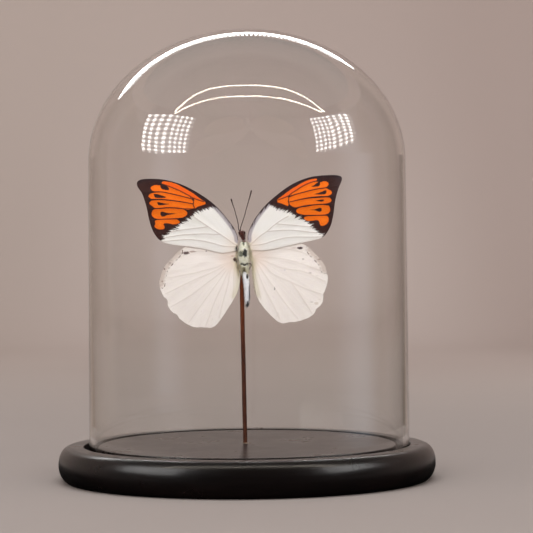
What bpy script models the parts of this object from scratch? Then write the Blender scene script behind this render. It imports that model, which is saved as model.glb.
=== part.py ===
"""Great orange tip butterfly, spread and mounted on a pointed stick, under a glass
dome that stands in the groove of a round turned wooden base.

Run it in Blender. Metres, +Z up. The origin is the centre of the base's underside,
and -Y faces the viewer, who sees the upper side of the wings. The sizes and points
listed below are in millimetres.
"""
import math

import bmesh
import bpy
from mathutils import Vector

MM = 0.001

# Fit: the gap kept between pieces that touch on the real object.
GAP = 0.3

# Base: one turned piece of dark wood with a bulging side.
BASE_HEIGHT = 15.0
BASE_RADIUS = 81.65
BASE_FOOT_RADIUS = 78.0      # where the side meets the underside
BASE_WIDEST_Z = 7.0
RIM_ROUND = 5.75             # from the widest point in to where the flat top starts
RIM_POWER = 2.3              # 2 is an ellipse; more gives a crisper top edge
SIDE_LEVELS_LOW = (0.0, 1.0, 2.6, 4.6, BASE_WIDEST_Z)
SIDE_LEVELS_HIGH = (9.6, 11.8, 13.4, 14.4, 14.9, BASE_HEIGHT)
GROOVE_OUTER = 70.8
GROOVE_INNER = 64.5
GROOVE_FLOOR_Z = 10.5
BASE_SIDES = 72

# Dome: blown glass, a slightly tapered wall under an elliptical crown.
DOME_TOP_Z = 194.9
DOME_RADIUS = 69.4           # outside, at the open lower edge
SHOULDER_RADIUS = 68.8
SHOULDER_Z = 137.6
GLASS = 2.3
GLASS_LIP = 0.6              # bevel of the polished lower edge
DOME_SHIFT_X = 1.0           # it stands a little off centre in its groove
DOME_SIDES = 72
CROWN_STEPS = 10

# Stick: round wood, sharpened at the top, leaning very slightly.
STICK_FOOT = Vector((-0.75, 0.9, 9.3))
STICK_TIP = Vector((-1.9, 2.3, 94.0))
STICK_RADIUS = 0.95
STICK_TIP_RADIUS = 0.15
STICK_POINT = 12.0           # length of the sharpened end
STICK_SIDES = 16
DRILL_ABOVE = 2.0            # how far the drill for its hole stands out of the base

# Wings: thin plates that lean towards the viewer as they leave the body.
WING_THICKNESS = 0.5
FOREWING_Y = -1.2            # front face at the root
HINDWING_Y = 0.0
LEFT_ROOT_X = -3.6
RIGHT_ROOT_X = 2.1
LEFT_LEAN = math.radians(3.0)
RIGHT_LEAN = math.radians(6.0)

# Outlines, as (x, z). Each runs from the upper root out along the leading edge,
# round the outer margin and back along the trailing edge to the lower root.
LEFT_FOREWING = [
    (-3.1, 103.4), (-3.7, 106.1), (-6.0, 110.4), (-12.3, 118.0), (-19.1, 123.3),
    (-27.0, 127.6), (-34.9, 129.9), (-42.8, 130.3), (-46.2, 129.4), (-46.5, 127.2),
    (-44.4, 123.8), (-42.7, 118.5), (-41.4, 112.0), (-39.6, 106.9), (-36.7, 103.4),
    (-31.8, 101.7), (-25.1, 100.8), (-17.5, 99.5), (-11.1, 97.9), (-6.8, 98.2),
    (-3.7, 98.9)]
RIGHT_FOREWING = [
    (1.1, 103.4), (1.1, 105.5), (2.1, 108.6), (4.1, 112.4), (7.9, 117.4),
    (12.9, 122.1), (20.4, 127.4), (28.2, 130.4), (36.0, 131.2), (40.8, 130.9),
    (42.0, 129.3), (40.3, 124.9), (39.0, 119.9), (38.2, 114.0), (36.8, 108.8),
    (33.8, 104.5), (28.6, 102.8), (22.6, 101.6), (14.2, 99.7), (8.6, 98.8),
    (4.6, 98.8), (2.4, 99.0)]
LEFT_HINDWING = [
    (-3.8, 98.6), (-8.9, 101.5), (-16.4, 103.0), (-22.9, 102.0), (-28.3, 99.2),
    (-31.9, 95.7), (-35.4, 91.5), (-37.2, 86.3), (-37.4, 83.5), (-36.0, 79.4),
    (-34.2, 77.6), (-33.8, 75.0), (-32.2, 72.3), (-30.3, 71.0), (-27.9, 68.3),
    (-23.1, 65.6), (-19.2, 65.3), (-15.2, 65.1), (-12.6, 66.6), (-8.9, 71.7),
    (-4.4, 79.0), (-3.0, 83.0), (-2.6, 87.5), (-3.4, 91.5), (-3.9, 94.5)]
RIGHT_HINDWING = [
    (2.5, 98.6), (7.6, 101.6), (14.6, 103.2), (21.0, 102.7), (26.9, 100.3),
    (30.2, 97.0), (33.7, 93.0), (35.3, 88.5), (35.5, 85.5), (34.4, 81.2),
    (33.6, 79.6), (33.4, 76.6), (32.3, 74.5), (30.7, 73.1), (28.5, 70.0),
    (23.1, 67.7), (18.9, 67.2), (15.8, 66.8), (12.6, 68.5), (7.0, 74.6),
    (4.6, 79.4), (3.6, 84.5), (2.9, 89.0), (2.6, 94.5)]

# Body segments, as rings from bottom to top: x, y, z, half width, half depth.
ABDOMEN_RINGS = [
    (0.45, 0.0, 73.7, 0.2, 0.3), (0.55, 0.0, 74.8, 0.6, 0.8),
    (0.6, 0.0, 76.5, 0.95, 1.2), (0.65, 0.0, 79.0, 1.2, 1.5),
    (0.45, 0.0, 83.0, 1.35, 1.7), (0.15, 0.0, 87.0, 1.4, 1.8),
    (-0.2, 0.1, 89.3, 1.2, 1.4), (-0.35, 0.2, 90.0, 0.6, 0.7)]
THORAX_RINGS = [
    (-0.5, 0.4, 90.4, 1.3, 1.5), (-0.55, 0.5, 91.4, 1.9, 2.2),
    (-0.6, 0.6, 93.0, 2.35, 2.8), (-0.6, 0.6, 95.0, 2.6, 3.2),
    (-0.65, 0.5, 98.0, 2.6, 3.2), (-0.8, 0.3, 101.0, 2.2, 2.6),
    (-1.0, 0.2, 102.6, 1.6, 1.8), (-0.9, 0.2, 103.3, 0.7, 0.8)]
HEAD_RINGS = [
    (-0.8, 0.1, 103.6, 0.55, 0.6), (-1.0, 0.1, 104.3, 0.8, 0.8),
    (-1.25, 0.0, 105.1, 1.15, 1.15), (-1.45, -0.05, 105.9, 1.35, 1.4),
    (-1.5, -0.1, 106.7, 1.35, 1.25), (-1.55, -0.1, 107.3, 0.8, 0.8)]
BODY_SIDES = 16

# Antennae, as (x, y, z, thickness factor) from the head to the clubbed tip.
ANTENNA_RADIUS = 0.14
LEFT_ANTENNA = [
    (-2.8, -0.4, 107.7, 1.0), (-3.1, -1.3, 110.9, 0.9), (-3.9, -2.6, 114.0, 0.9),
    (-4.7, -3.9, 116.9, 0.9), (-5.5, -5.3, 119.1, 1.3), (-5.95, -6.2, 120.6, 1.9),
    (-6.1, -6.5, 121.2, 1.3)]
RIGHT_ANTENNA = [
    (-2.3, -0.4, 107.8, 1.0), (-1.25, -0.9, 111.0, 0.9), (-0.25, -1.3, 114.1, 0.9),
    (0.6, -1.8, 117.8, 0.9), (1.65, -2.4, 121.5, 1.3), (2.3, -2.7, 124.1, 1.9),
    (2.55, -2.8, 125.0, 1.3)]


def clear_scene():
    for thing in list(bpy.data.objects):
        bpy.data.objects.remove(thing, do_unlink=True)


def surface(name, color, roughness, transmission=0.0):
    """A Principled material."""
    material = bpy.data.materials.new(name)
    material.use_nodes = True
    shader = material.node_tree.nodes["Principled BSDF"]
    shader.inputs["Base Color"].default_value = (*color, 1.0)
    shader.inputs["Roughness"].default_value = roughness
    shader.inputs["Transmission Weight"].default_value = transmission
    return material


def finish_object(name, bm, material=None):
    """Turn a bmesh into a named object; with no material it is a hidden cutter."""
    bmesh.ops.recalc_face_normals(bm, faces=bm.faces)
    mesh = bpy.data.meshes.new(name)
    bm.to_mesh(mesh)
    bm.free()
    mesh.shade_smooth()
    mesh.set_sharp_from_angle(angle=math.radians(35.0))
    thing = bpy.data.objects.new(name, mesh)
    bpy.context.scene.collection.objects.link(thing)
    if material:
        mesh.materials.append(material)
    else:
        thing.hide_render = True
        thing.display_type = "WIRE"
    return thing


def turned(name, profile, sides, material):
    """Spin a (radius, z) profile that starts and ends on the vertical axis."""
    bm = bmesh.new()
    verts = [bm.verts.new(Vector((r, 0, z)) * MM) for r, z in profile]
    edges = [bm.edges.new(pair) for pair in zip(verts, verts[1:])]
    bmesh.ops.spin(bm, geom=verts + edges, axis=(0, 0, 1), cent=(0, 0, 0), dvec=(0, 0, 0),
                   angle=math.tau, steps=sides, use_merge=True)
    bmesh.ops.remove_doubles(bm, verts=bm.verts, dist=1e-6)
    return finish_object(name, bm, material)


def lofted(name, rings, sides, material=None):
    """Join elliptical rings (x, y, z, half width, half depth) and cap both ends."""
    turn = [math.tau * k / sides for k in range(sides)]
    bm = bmesh.new()
    loops = []
    for x, y, z, width, depth in rings:
        ring = [Vector((x + width * math.cos(a), y + depth * math.sin(a), z)) for a in turn]
        loops.append([bm.verts.new(p * MM) for p in ring])
    for low, high in zip(loops, loops[1:]):
        for k in range(sides):
            bm.faces.new((low[k - 1], low[k], high[k], high[k - 1]))
    bm.faces.new(loops[0])
    bm.faces.new(loops[-1])
    return finish_object(name, bm, material)


def cut(thing, cutter):
    """Drill a hole through or into an object."""
    hole = thing.modifiers.new("hole", "BOOLEAN")
    hole.operation = "DIFFERENCE"
    hole.solver = "EXACT"
    hole.object = cutter


def smooth_loop(corners, steps=2):
    """A Catmull-Rom curve through (x, z) points that keeps its two ends sharp."""
    points = [Vector(p) for p in corners]
    chain = [2 * points[0] - points[1], *points, 2 * points[-1] - points[-2]]
    curve = []
    for a, b, c, d in zip(chain, chain[1:], chain[2:], chain[3:]):
        for t in (k / steps for k in range(steps)):
            curve.append(0.5 * (2 * b + (c - a) * t + (2 * a - 5 * b + 4 * c - d) * t ** 2
                                + (3 * b - a - 3 * c + d) * t ** 3))
    return curve + [points[-1]]


def base_side():
    """The bulging side of the base as (radius, z), from the underside to the flat top."""
    centre = BASE_RADIUS - RIM_ROUND
    reach = (BASE_FOOT_RADIUS - centre) / RIM_ROUND
    low_axis = BASE_WIDEST_Z / math.sqrt(1 - reach ** 2)
    high_axis = BASE_HEIGHT - BASE_WIDEST_Z
    side = []
    for z in SIDE_LEVELS_LOW:
        drop = (BASE_WIDEST_Z - z) / low_axis
        side.append((centre + RIM_ROUND * math.sqrt(1 - drop ** 2), z))
    for z in SIDE_LEVELS_HIGH:
        rise = (z - BASE_WIDEST_Z) / high_axis
        side.append((centre + RIM_ROUND * (1 - rise ** RIM_POWER) ** (1 / RIM_POWER), z))
    return side


def crown(radius, top):
    """A quarter ellipse as (radius, z), from the shoulder up to the axis."""
    steps = [math.pi / 2 * k / CROWN_STEPS for k in range(CROWN_STEPS)]
    arc = [(radius * math.cos(a), SHOULDER_Z + (top - SHOULDER_Z) * math.sin(a)) for a in steps]
    return arc + [(0.0, top)]


def stick_rings(extra=0.0):
    """Foot, start of the point and tip of the stick, all grown by extra."""
    lean = (STICK_TIP - STICK_FOOT).normalized()
    stations = [(STICK_FOOT - lean * extra, STICK_RADIUS),
                (STICK_TIP - lean * STICK_POINT, STICK_RADIUS),
                (STICK_TIP + lean * extra, STICK_TIP_RADIUS)]
    return [(*centre, radius + extra, radius + extra) for centre, radius in stations]


def build_base():
    wood = surface("dark_wood", (0.022, 0.014, 0.011), 0.3)
    groove = [(GROOVE_OUTER, BASE_HEIGHT), (GROOVE_OUTER, GROOVE_FLOOR_Z),
              (GROOVE_INNER, GROOVE_FLOOR_Z), (GROOVE_INNER, BASE_HEIGHT)]
    profile = [(0.0, 0.0), *base_side(), *groove, (0.0, BASE_HEIGHT)]
    base = turned("base", profile, BASE_SIDES, wood)
    foot, shoulder, _ = stick_rings(GAP)
    part_way = (BASE_HEIGHT + DRILL_ABOVE - foot[2]) / (shoulder[2] - foot[2])
    mouth = [f + (s - f) * part_way for f, s in zip(foot, shoulder)]
    cut(base, lofted("stick_hole", [foot, mouth], STICK_SIDES))


def build_dome():
    glass = surface("clear_glass", (0.96, 0.98, 0.96), 0.0, transmission=1.0)
    foot_z = GROOVE_FLOOR_Z + GAP
    inner_radius = DOME_RADIUS - GLASS
    edge = [(inner_radius, foot_z + GLASS_LIP), (inner_radius + GLASS_LIP, foot_z),
            (DOME_RADIUS - GLASS_LIP, foot_z), (DOME_RADIUS, foot_z + GLASS_LIP)]
    inside = crown(SHOULDER_RADIUS - GLASS, DOME_TOP_Z - GLASS)
    outside = crown(SHOULDER_RADIUS, DOME_TOP_Z)
    dome = turned("dome", [*reversed(inside), *edge, *outside], DOME_SIDES, glass)
    dome.location.x = DOME_SHIFT_X * MM


def build_stick():
    stain = surface("stained_stick", (0.16, 0.035, 0.015), 0.45)
    lofted("stick", stick_rings(), STICK_SIDES, stain)


def build_body():
    hair = surface("body_hair", (0.55, 0.56, 0.44), 0.9)
    brown = surface("head_brown", (0.09, 0.03, 0.02), 0.7)
    lofted("abdomen", ABDOMEN_RINGS, BODY_SIDES, hair)
    lofted("head", HEAD_RINGS, BODY_SIDES, brown)
    thorax = lofted("thorax", THORAX_RINGS, BODY_SIDES, hair)
    cut(thorax, lofted("thorax_hole", stick_rings(GAP), STICK_SIDES))


def build_wing(name, outline, front_y, root_x, lean, material):
    """A flat plate over the outline, sheared so that it leans towards the viewer."""
    bm = bmesh.new()
    front = []
    for x, z in smooth_loop(outline):
        y = front_y - math.tan(lean) * abs(x - root_x)
        front.append(bm.verts.new(Vector((x, y, z)) * MM))
    plate = bmesh.ops.extrude_face_region(bm, geom=[bm.faces.new(front)])
    back = [v for v in plate["geom"] if isinstance(v, bmesh.types.BMVert)]
    bmesh.ops.translate(bm, vec=(0, WING_THICKNESS * MM, 0), verts=back)
    bmesh.ops.triangulate(bm, faces=[f for f in bm.faces if len(f.verts) > 4])
    finish_object(name, bm, material)


def build_wings():
    tipped = surface("forewing_scales", (0.82, 0.83, 0.78), 0.8)
    cream = surface("hindwing_scales", (0.80, 0.74, 0.67), 0.85)
    left, right = (LEFT_ROOT_X, LEFT_LEAN), (RIGHT_ROOT_X, RIGHT_LEAN)
    build_wing("left_forewing", LEFT_FOREWING, FOREWING_Y, *left, tipped)
    build_wing("right_forewing", RIGHT_FOREWING, FOREWING_Y, *right, tipped)
    build_wing("left_hindwing", LEFT_HINDWING, HINDWING_Y, *left, cream)
    build_wing("right_hindwing", RIGHT_HINDWING, HINDWING_Y, *right, cream)


def build_antenna(name, stations, material):
    """A thin feeler with a thicker tip, as a round bevelled curve."""
    curve = bpy.data.curves.new(name, "CURVE")
    curve.dimensions = "3D"
    curve.bevel_depth = ANTENNA_RADIUS * MM
    curve.bevel_resolution = 2
    curve.use_fill_caps = True
    curve.materials.append(material)
    line = curve.splines.new("POLY")
    line.points.add(len(stations) - 1)
    for point, (x, y, z, thickness) in zip(line.points, stations):
        point.co = (x * MM, y * MM, z * MM, 1.0)
        point.radius = thickness
    bpy.context.scene.collection.objects.link(bpy.data.objects.new(name, curve))


def build_antennae():
    brown = surface("feeler_brown", (0.12, 0.08, 0.06), 0.6)
    build_antenna("left_antenna", LEFT_ANTENNA, brown)
    build_antenna("right_antenna", RIGHT_ANTENNA, brown)


clear_scene()
build_base()
build_dome()
build_stick()
build_body()
build_wings()
build_antennae()
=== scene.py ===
"""Great orange tip butterfly, spread and mounted on a pointed stick, under a glass
dome that stands in the groove of a round turned base. Its looks, built round the
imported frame.

Metres, +Z up, and -Y faces the viewer. The sizes and points listed are in millimetres.
"""
import math

import bpy
import numpy as np
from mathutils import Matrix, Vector, geometry


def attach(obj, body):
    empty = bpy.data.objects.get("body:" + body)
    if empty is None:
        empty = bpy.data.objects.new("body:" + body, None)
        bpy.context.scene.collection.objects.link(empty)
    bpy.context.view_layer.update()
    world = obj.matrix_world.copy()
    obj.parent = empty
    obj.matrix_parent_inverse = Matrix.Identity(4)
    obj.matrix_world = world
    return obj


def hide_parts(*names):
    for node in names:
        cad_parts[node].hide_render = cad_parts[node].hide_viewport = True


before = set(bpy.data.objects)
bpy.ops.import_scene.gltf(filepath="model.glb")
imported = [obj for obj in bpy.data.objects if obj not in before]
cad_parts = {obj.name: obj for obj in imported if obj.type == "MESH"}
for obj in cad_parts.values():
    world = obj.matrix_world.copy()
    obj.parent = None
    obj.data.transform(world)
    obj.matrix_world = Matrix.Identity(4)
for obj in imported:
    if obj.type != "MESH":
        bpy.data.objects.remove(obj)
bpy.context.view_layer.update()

MM = 0.001
rng = np.random.default_rng(7)

# ---------------------------------------------------------------- sizes

BASE_HEIGHT = 15.0
BASE_RADIUS = 81.65
BASE_FOOT_RADIUS = 78.0
BASE_WIDEST_Z = 7.0
RIM_ROUND = 5.75
RIM_POWER = 2.3
GROOVE_OUTER = 70.8
GROOVE_INNER = 64.5
GROOVE_FLOOR_Z = 10.5
GROOVE_LIP = 0.8
GROOVE_SOFTNESS = 0.35
BASE_SIDES = 240

DOME_TOP_Z = 194.9
DOME_RADIUS = 69.4
SHOULDER_RADIUS = 68.8
SHOULDER_Z = 137.6
DOME_FOOT_Z = 10.8
GLASS = 2.3
CROWN_WALL = 0.33  # the share of the wall that is left at the crown
WALL_FALL = 60.0
GLASS_LIP = 0.6
DOME_X = 1.0
DOME_SIDES = 240

STICK_FOOT = Vector((-0.75, 0.9, 9.3))
STICK_TIP = Vector((-1.9, 2.3, 94.0))
STICK_RADIUS = 0.95
STICK_POINT = 12.0
STICK_TIP_RADIUS = 0.15

ABDOMEN_RINGS = [
    (0.45, 0.0, 73.7, 0.2, 0.3), (0.55, 0.0, 74.8, 0.6, 0.8),
    (0.6, 0.0, 76.5, 0.95, 1.2), (0.65, 0.0, 79.0, 1.2, 1.5),
    (0.45, 0.0, 83.0, 1.35, 1.7), (0.15, 0.0, 87.0, 1.4, 1.8),
    (-0.2, 0.1, 89.3, 1.2, 1.4), (-0.35, 0.2, 90.0, 0.6, 0.7)]
THORAX_RINGS = [
    (-0.1, 0.3, 88.2, 0.6, 0.8), (-0.2, 0.35, 89.2, 1.25, 1.4),
    (-0.35, 0.4, 90.8, 1.6, 1.8), (-0.6, 0.5, 92.6, 2.1, 2.5),
    (-0.75, 0.6, 94.8, 2.45, 3.1), (-0.8, 0.6, 97.0, 2.55, 3.3),
    (-0.8, 0.5, 99.2, 2.4, 3.0), (-0.75, 0.35, 100.9, 1.95, 2.4),
    (-0.7, 0.2, 102.2, 1.4, 1.7), (-0.75, 0.2, 103.2, 0.75, 0.9)]
HEAD_RINGS = [
    (-0.8, 0.1, 103.3, 0.5, 0.55), (-1.0, 0.1, 104.3, 0.75, 0.8),
    (-1.25, 0.0, 105.1, 1.0, 1.1), (-1.45, -0.05, 105.9, 1.25, 1.3),
    (-1.5, -0.1, 106.7, 1.2, 1.2), (-1.55, -0.1, 107.3, 0.7, 0.7)]

LEFT_ANTENNA = [
    (-2.0, -0.4, 106.9, 1.1), (-2.8, -0.5, 107.9, 1.0), (-3.1, -1.3, 110.9, 0.9),
    (-3.85, -2.6, 114.0, 0.9), (-4.6, -3.9, 116.9, 0.9), (-5.35, -5.3, 119.1, 1.2),
    (-5.75, -6.2, 120.6, 1.7), (-5.9, -6.5, 121.2, 1.3)]
RIGHT_ANTENNA = [
    (-2.1, -0.4, 107.0, 1.1), (-2.2, -0.5, 108.0, 1.0), (-1.25, -0.9, 111.0, 0.9),
    (-0.2, -1.3, 114.1, 0.9), (0.8, -1.8, 117.8, 0.9), (1.95, -2.4, 121.5, 1.2),
    (2.65, -2.7, 124.1, 1.7), (2.9, -2.8, 125.0, 1.3)]
ANTENNA_RADIUS = 0.18
SEGMENT = 1.9  # of the abdomen
EYE_Z = 106.4
LEG_X = -0.6

# The net of a wing: steps of its rim and filling, rows to a step, half a vein.
WING_EDGE_GAP, WING_PITCH, WING_ROWS, VEIN_HALF = 0.34, 0.42, 0.866, 0.15
# Its relief: the ribs, the dips between them and the leading edge.
RIB_WIDTH, RIB_RISE = 0.16, 0.10
DIP_WIDTH, DIP_DEPTH = 1.3, 0.14
LEAD_WIDTH, LEAD_RISE = 0.5, 0.22
WING_THICKNESS, ROOT_THICKNESS = 0.13, 0.22
# Where each side's wings join the body, and how far they lean forward.
WING_ROOTS = {"left": (-3.6, math.radians(3.0)), "right": (2.1, math.radians(6.0))}

# Wing outlines, (x, z), from the upper root round the margin to the lower root.
LEFT_FOREWING = [
    (-3.1, 103.4), (-3.7, 106.1), (-6.0, 110.4), (-12.3, 118.0), (-19.1, 123.3),
    (-27.0, 127.6), (-34.9, 129.9), (-42.8, 130.3), (-46.2, 129.4), (-46.5, 127.2),
    (-44.4, 123.8), (-42.7, 118.5), (-41.4, 112.0), (-39.6, 106.9), (-36.7, 103.4),
    (-31.8, 101.7), (-25.1, 100.8), (-17.5, 99.5), (-11.1, 97.9), (-6.8, 98.2),
    (-3.7, 98.9)]
RIGHT_FOREWING = [
    (1.1, 103.4), (1.1, 105.5), (2.1, 108.6), (4.1, 112.4), (7.9, 117.4),
    (12.9, 122.1), (20.4, 127.4), (28.2, 130.4), (36.0, 131.2), (40.8, 130.9),
    (42.0, 129.3), (40.3, 124.9), (39.0, 119.9), (38.2, 114.0), (36.8, 108.8),
    (33.8, 104.5), (28.6, 102.8), (22.6, 101.6), (14.2, 99.7), (8.6, 98.8),
    (4.6, 98.8), (2.4, 99.0)]
LEFT_HINDWING = [
    (-3.8, 98.6), (-8.9, 101.5), (-16.4, 103.0), (-22.9, 102.0), (-28.3, 99.2),
    (-31.9, 95.7), (-35.4, 91.5), (-37.2, 86.3), (-37.4, 83.5), (-36.0, 79.4),
    (-34.2, 77.6), (-33.8, 75.0), (-32.2, 72.3), (-30.3, 71.0), (-27.9, 68.3),
    (-23.1, 65.6), (-19.2, 65.3), (-15.2, 65.1), (-12.6, 66.6), (-8.9, 71.7),
    (-4.4, 79.0), (-3.0, 83.0), (-2.6, 87.5), (-3.4, 91.5), (-3.9, 94.5)]
RIGHT_HINDWING = [
    (2.5, 98.6), (7.6, 101.6), (14.6, 103.2), (21.0, 102.7), (26.9, 100.3),
    (30.2, 97.0), (33.7, 93.0), (35.3, 88.5), (35.5, 85.5), (34.4, 81.2),
    (33.6, 79.6), (33.4, 76.6), (32.3, 74.5), (30.7, 73.1), (28.5, 70.0),
    (23.1, 67.7), (18.9, 67.2), (15.8, 66.8), (12.6, 68.5), (7.0, 74.6),
    (4.6, 79.4), (3.6, 84.5), (2.9, 89.0), (2.6, 94.5)]

# Where the black of each forewing begins, from the rear corner up to the leading
# edge, and then the thin dark leading edge back towards the body.
LEFT_DARK = [
    (-36.7, 103.4), (-35.0, 105.0), (-33.1, 106.5), (-31.8, 107.8), (-29.6, 108.7),
    (-28.4, 110.2), (-26.2, 111.3), (-24.4, 112.7), (-22.7, 114.1), (-21.1, 115.4),
    (-18.9, 116.2), (-17.0, 116.8), (-15.1, 117.4), (-13.2, 117.5), (-11.0, 116.0),
    (-8.3, 113.1), (-6.4, 110.5), (-5.0, 108.0), (-4.3, 109.0), (-12, 123), (-27, 132),
    (-48, 133), (-50, 125), (-45, 108), (-39, 101.5)]
RIGHT_DARK = [
    (33.8, 104.6), (33.4, 105.0), (31.8, 106.1), (30.2, 107.3), (28.9, 108.9),
    (27.7, 110.2), (25.8, 111.4), (23.9, 112.4), (22.3, 113.0), (21.3, 114.0),
    (20.1, 114.6), (18.5, 115.4), (17.2, 115.9), (15.7, 116.2), (13.8, 116.5),
    (12.5, 117.3), (10.6, 118.3), (8.4, 116.7), (6.2, 114.4), (3.9, 111.3),
    (2.2, 108.2), (1.5, 109.5), (10, 123), (28, 134), (45, 134), (45, 125), (41, 108),
    (36, 101.5)]

# The orange of each forewing: the strip along the leading edge first, the cell
# nearest the body, then the fingers from the wing tip backwards.
LEFT_STRIP = [
    (-35.3, 129.0), (-33.1, 128.8), (-30.0, 128.0), (-26.2, 126.0), (-22.7, 123.9),
    (-20.5, 122.2), (-18.6, 120.8), (-17.3, 120.0), (-17.9, 120.1), (-22.1, 121.5),
    (-23.6, 122.4), (-26.2, 123.8), (-29.3, 125.4), (-32.5, 126.7), (-35.6, 127.9)]
LEFT_ORANGE = [
    [(-21.7, 121.2), (-20.5, 120.8), (-17.9, 120.0), (-17.2, 119.3), (-18.9, 118.7),
     (-20.5, 118.2), (-21.9, 117.4), (-22.1, 119.2)],
    [(-40.6, 126.3), (-39.8, 127.1), (-38.5, 127.5), (-36.7, 127.3), (-33.7, 126.9),
     (-31.0, 125.7), (-28.2, 124.4), (-25.0, 122.8), (-22.5, 121.5), (-25.2, 122.3),
     (-28.7, 123.3), (-32.5, 124.2), (-36.3, 124.9), (-39.4, 125.0)],
    [(-41.5, 122.8), (-40.9, 123.6), (-39.6, 124.0), (-36.3, 124.3), (-32.5, 123.6),
     (-28.7, 122.7), (-24.9, 121.7), (-22.7, 120.9), (-22.6, 119.6), (-26.8, 120.4),
     (-31.2, 121.1), (-35.3, 121.5), (-38.5, 121.6), (-40.1, 121.6), (-41.0, 122.1)],
    [(-41.2, 119.5), (-40.7, 120.4), (-39.4, 120.8), (-36.3, 120.9), (-31.2, 120.4),
     (-26.8, 119.8), (-22.8, 119.0), (-22.4, 117.5), (-24.9, 116.9), (-28.7, 117.8),
     (-33.1, 118.0), (-36.3, 117.8), (-38.8, 117.7), (-39.9, 118.5)],
    [(-40.3, 114.8), (-39.9, 116.3), (-38.8, 117.0), (-36.3, 117.1), (-33.1, 117.3),
     (-28.7, 117.2), (-26.2, 116.5), (-25.1, 115.4), (-25.8, 114.1), (-28.1, 113.3),
     (-31.2, 113.0), (-34.7, 112.9), (-37.5, 113.0), (-39.4, 113.5)],
    [(-38.9, 111.9), (-37.5, 112.4), (-33.7, 112.5), (-31.2, 112.5), (-29.6, 112.4),
     (-28.4, 111.4), (-29.3, 110.8), (-31.2, 110.6), (-33.1, 111.0), (-34.7, 111.1),
     (-35.5, 110.5), (-35.0, 109.4), (-35.3, 108.6), (-36.6, 108.4), (-38.2, 108.7),
     (-39.1, 109.7), (-38.7, 110.8)]]
LEFT_DROPS = [
    [(-36.6, 127.3), (-35.4, 127.7), (-33.9, 127.3), (-32.9, 126.3), (-33.0, 125.3),
     (-34.9, 125.5), (-36.0, 125.9)],
    [(-39.4, 123.6), (-38.3, 123.7), (-36.4, 123.2), (-33.9, 122.3), (-35.8, 121.9),
     (-38.4, 122.0), (-39.0, 122.5)],
    [(-37.9, 120.1), (-36.6, 120.0), (-34.8, 119.6), (-32.8, 119.3), (-35.0, 118.9),
     (-37.3, 118.8), (-37.8, 119.4)],
    [(-36.7, 115.2), (-36.2, 116.0), (-35.0, 115.8), (-33.4, 115.4), (-31.2, 115.3),
     (-29.1, 115.2), (-31.4, 114.8), (-33.6, 114.5), (-35.0, 113.9), (-36.2, 114.0)]]
LEFT_VEINS = [
    [(-36.6, 128.3), (-33.1, 127.1), (-28.7, 125.3), (-24.9, 123.3), (-22.1, 121.7),
     (-17.8, 120.2)],
    [(-45.0, 124.8), (-41.0, 124.7), (-36.3, 124.6), (-32.5, 123.9), (-28.7, 123.0),
     (-24.9, 122.0), (-22.4, 121.3)],
    [(-43.4, 121.2), (-38.5, 121.4), (-35.3, 121.3), (-31.2, 120.8), (-26.8, 120.1),
     (-22.7, 119.3)],
    [(-42.2, 117.2), (-39.4, 117.3), (-36.3, 117.5), (-33.7, 117.7), (-30.0, 117.5),
     (-26.8, 117.2), (-22.7, 117.1)],
    [(-41.1, 112.2), (-36.3, 112.7), (-33.1, 112.8), (-28.7, 113.0), (-24.6, 113.5)],
    [(-22.1, 121.7), (-22.6, 121.1), (-22.2, 120.1), (-22.4, 118.9), (-21.9, 117.6)]]
LEFT_RIBS = [
    [(-3.7, 101.2), (-5.0, 101.8), (-9.4, 105.0), (-14.1, 108.0), (-17.3, 110.2),
     (-20.5, 112.4), (-22.7, 114.1)],
    [(-16.0, 109.3), (-20.5, 108.8), (-24.3, 108.4), (-28.7, 107.8), (-36.5, 106.3)],
    [(-10.6, 105.8), (-17.3, 106.2), (-22.1, 106.1), (-28.4, 105.7), (-37.5, 104.2)],
    [(-3.7, 100.5), (-9.4, 100.8), (-13.5, 101.9), (-17.3, 102.9), (-21.1, 103.5),
     (-25.2, 103.8), (-30.0, 103.5), (-36.0, 103.0)]]

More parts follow.
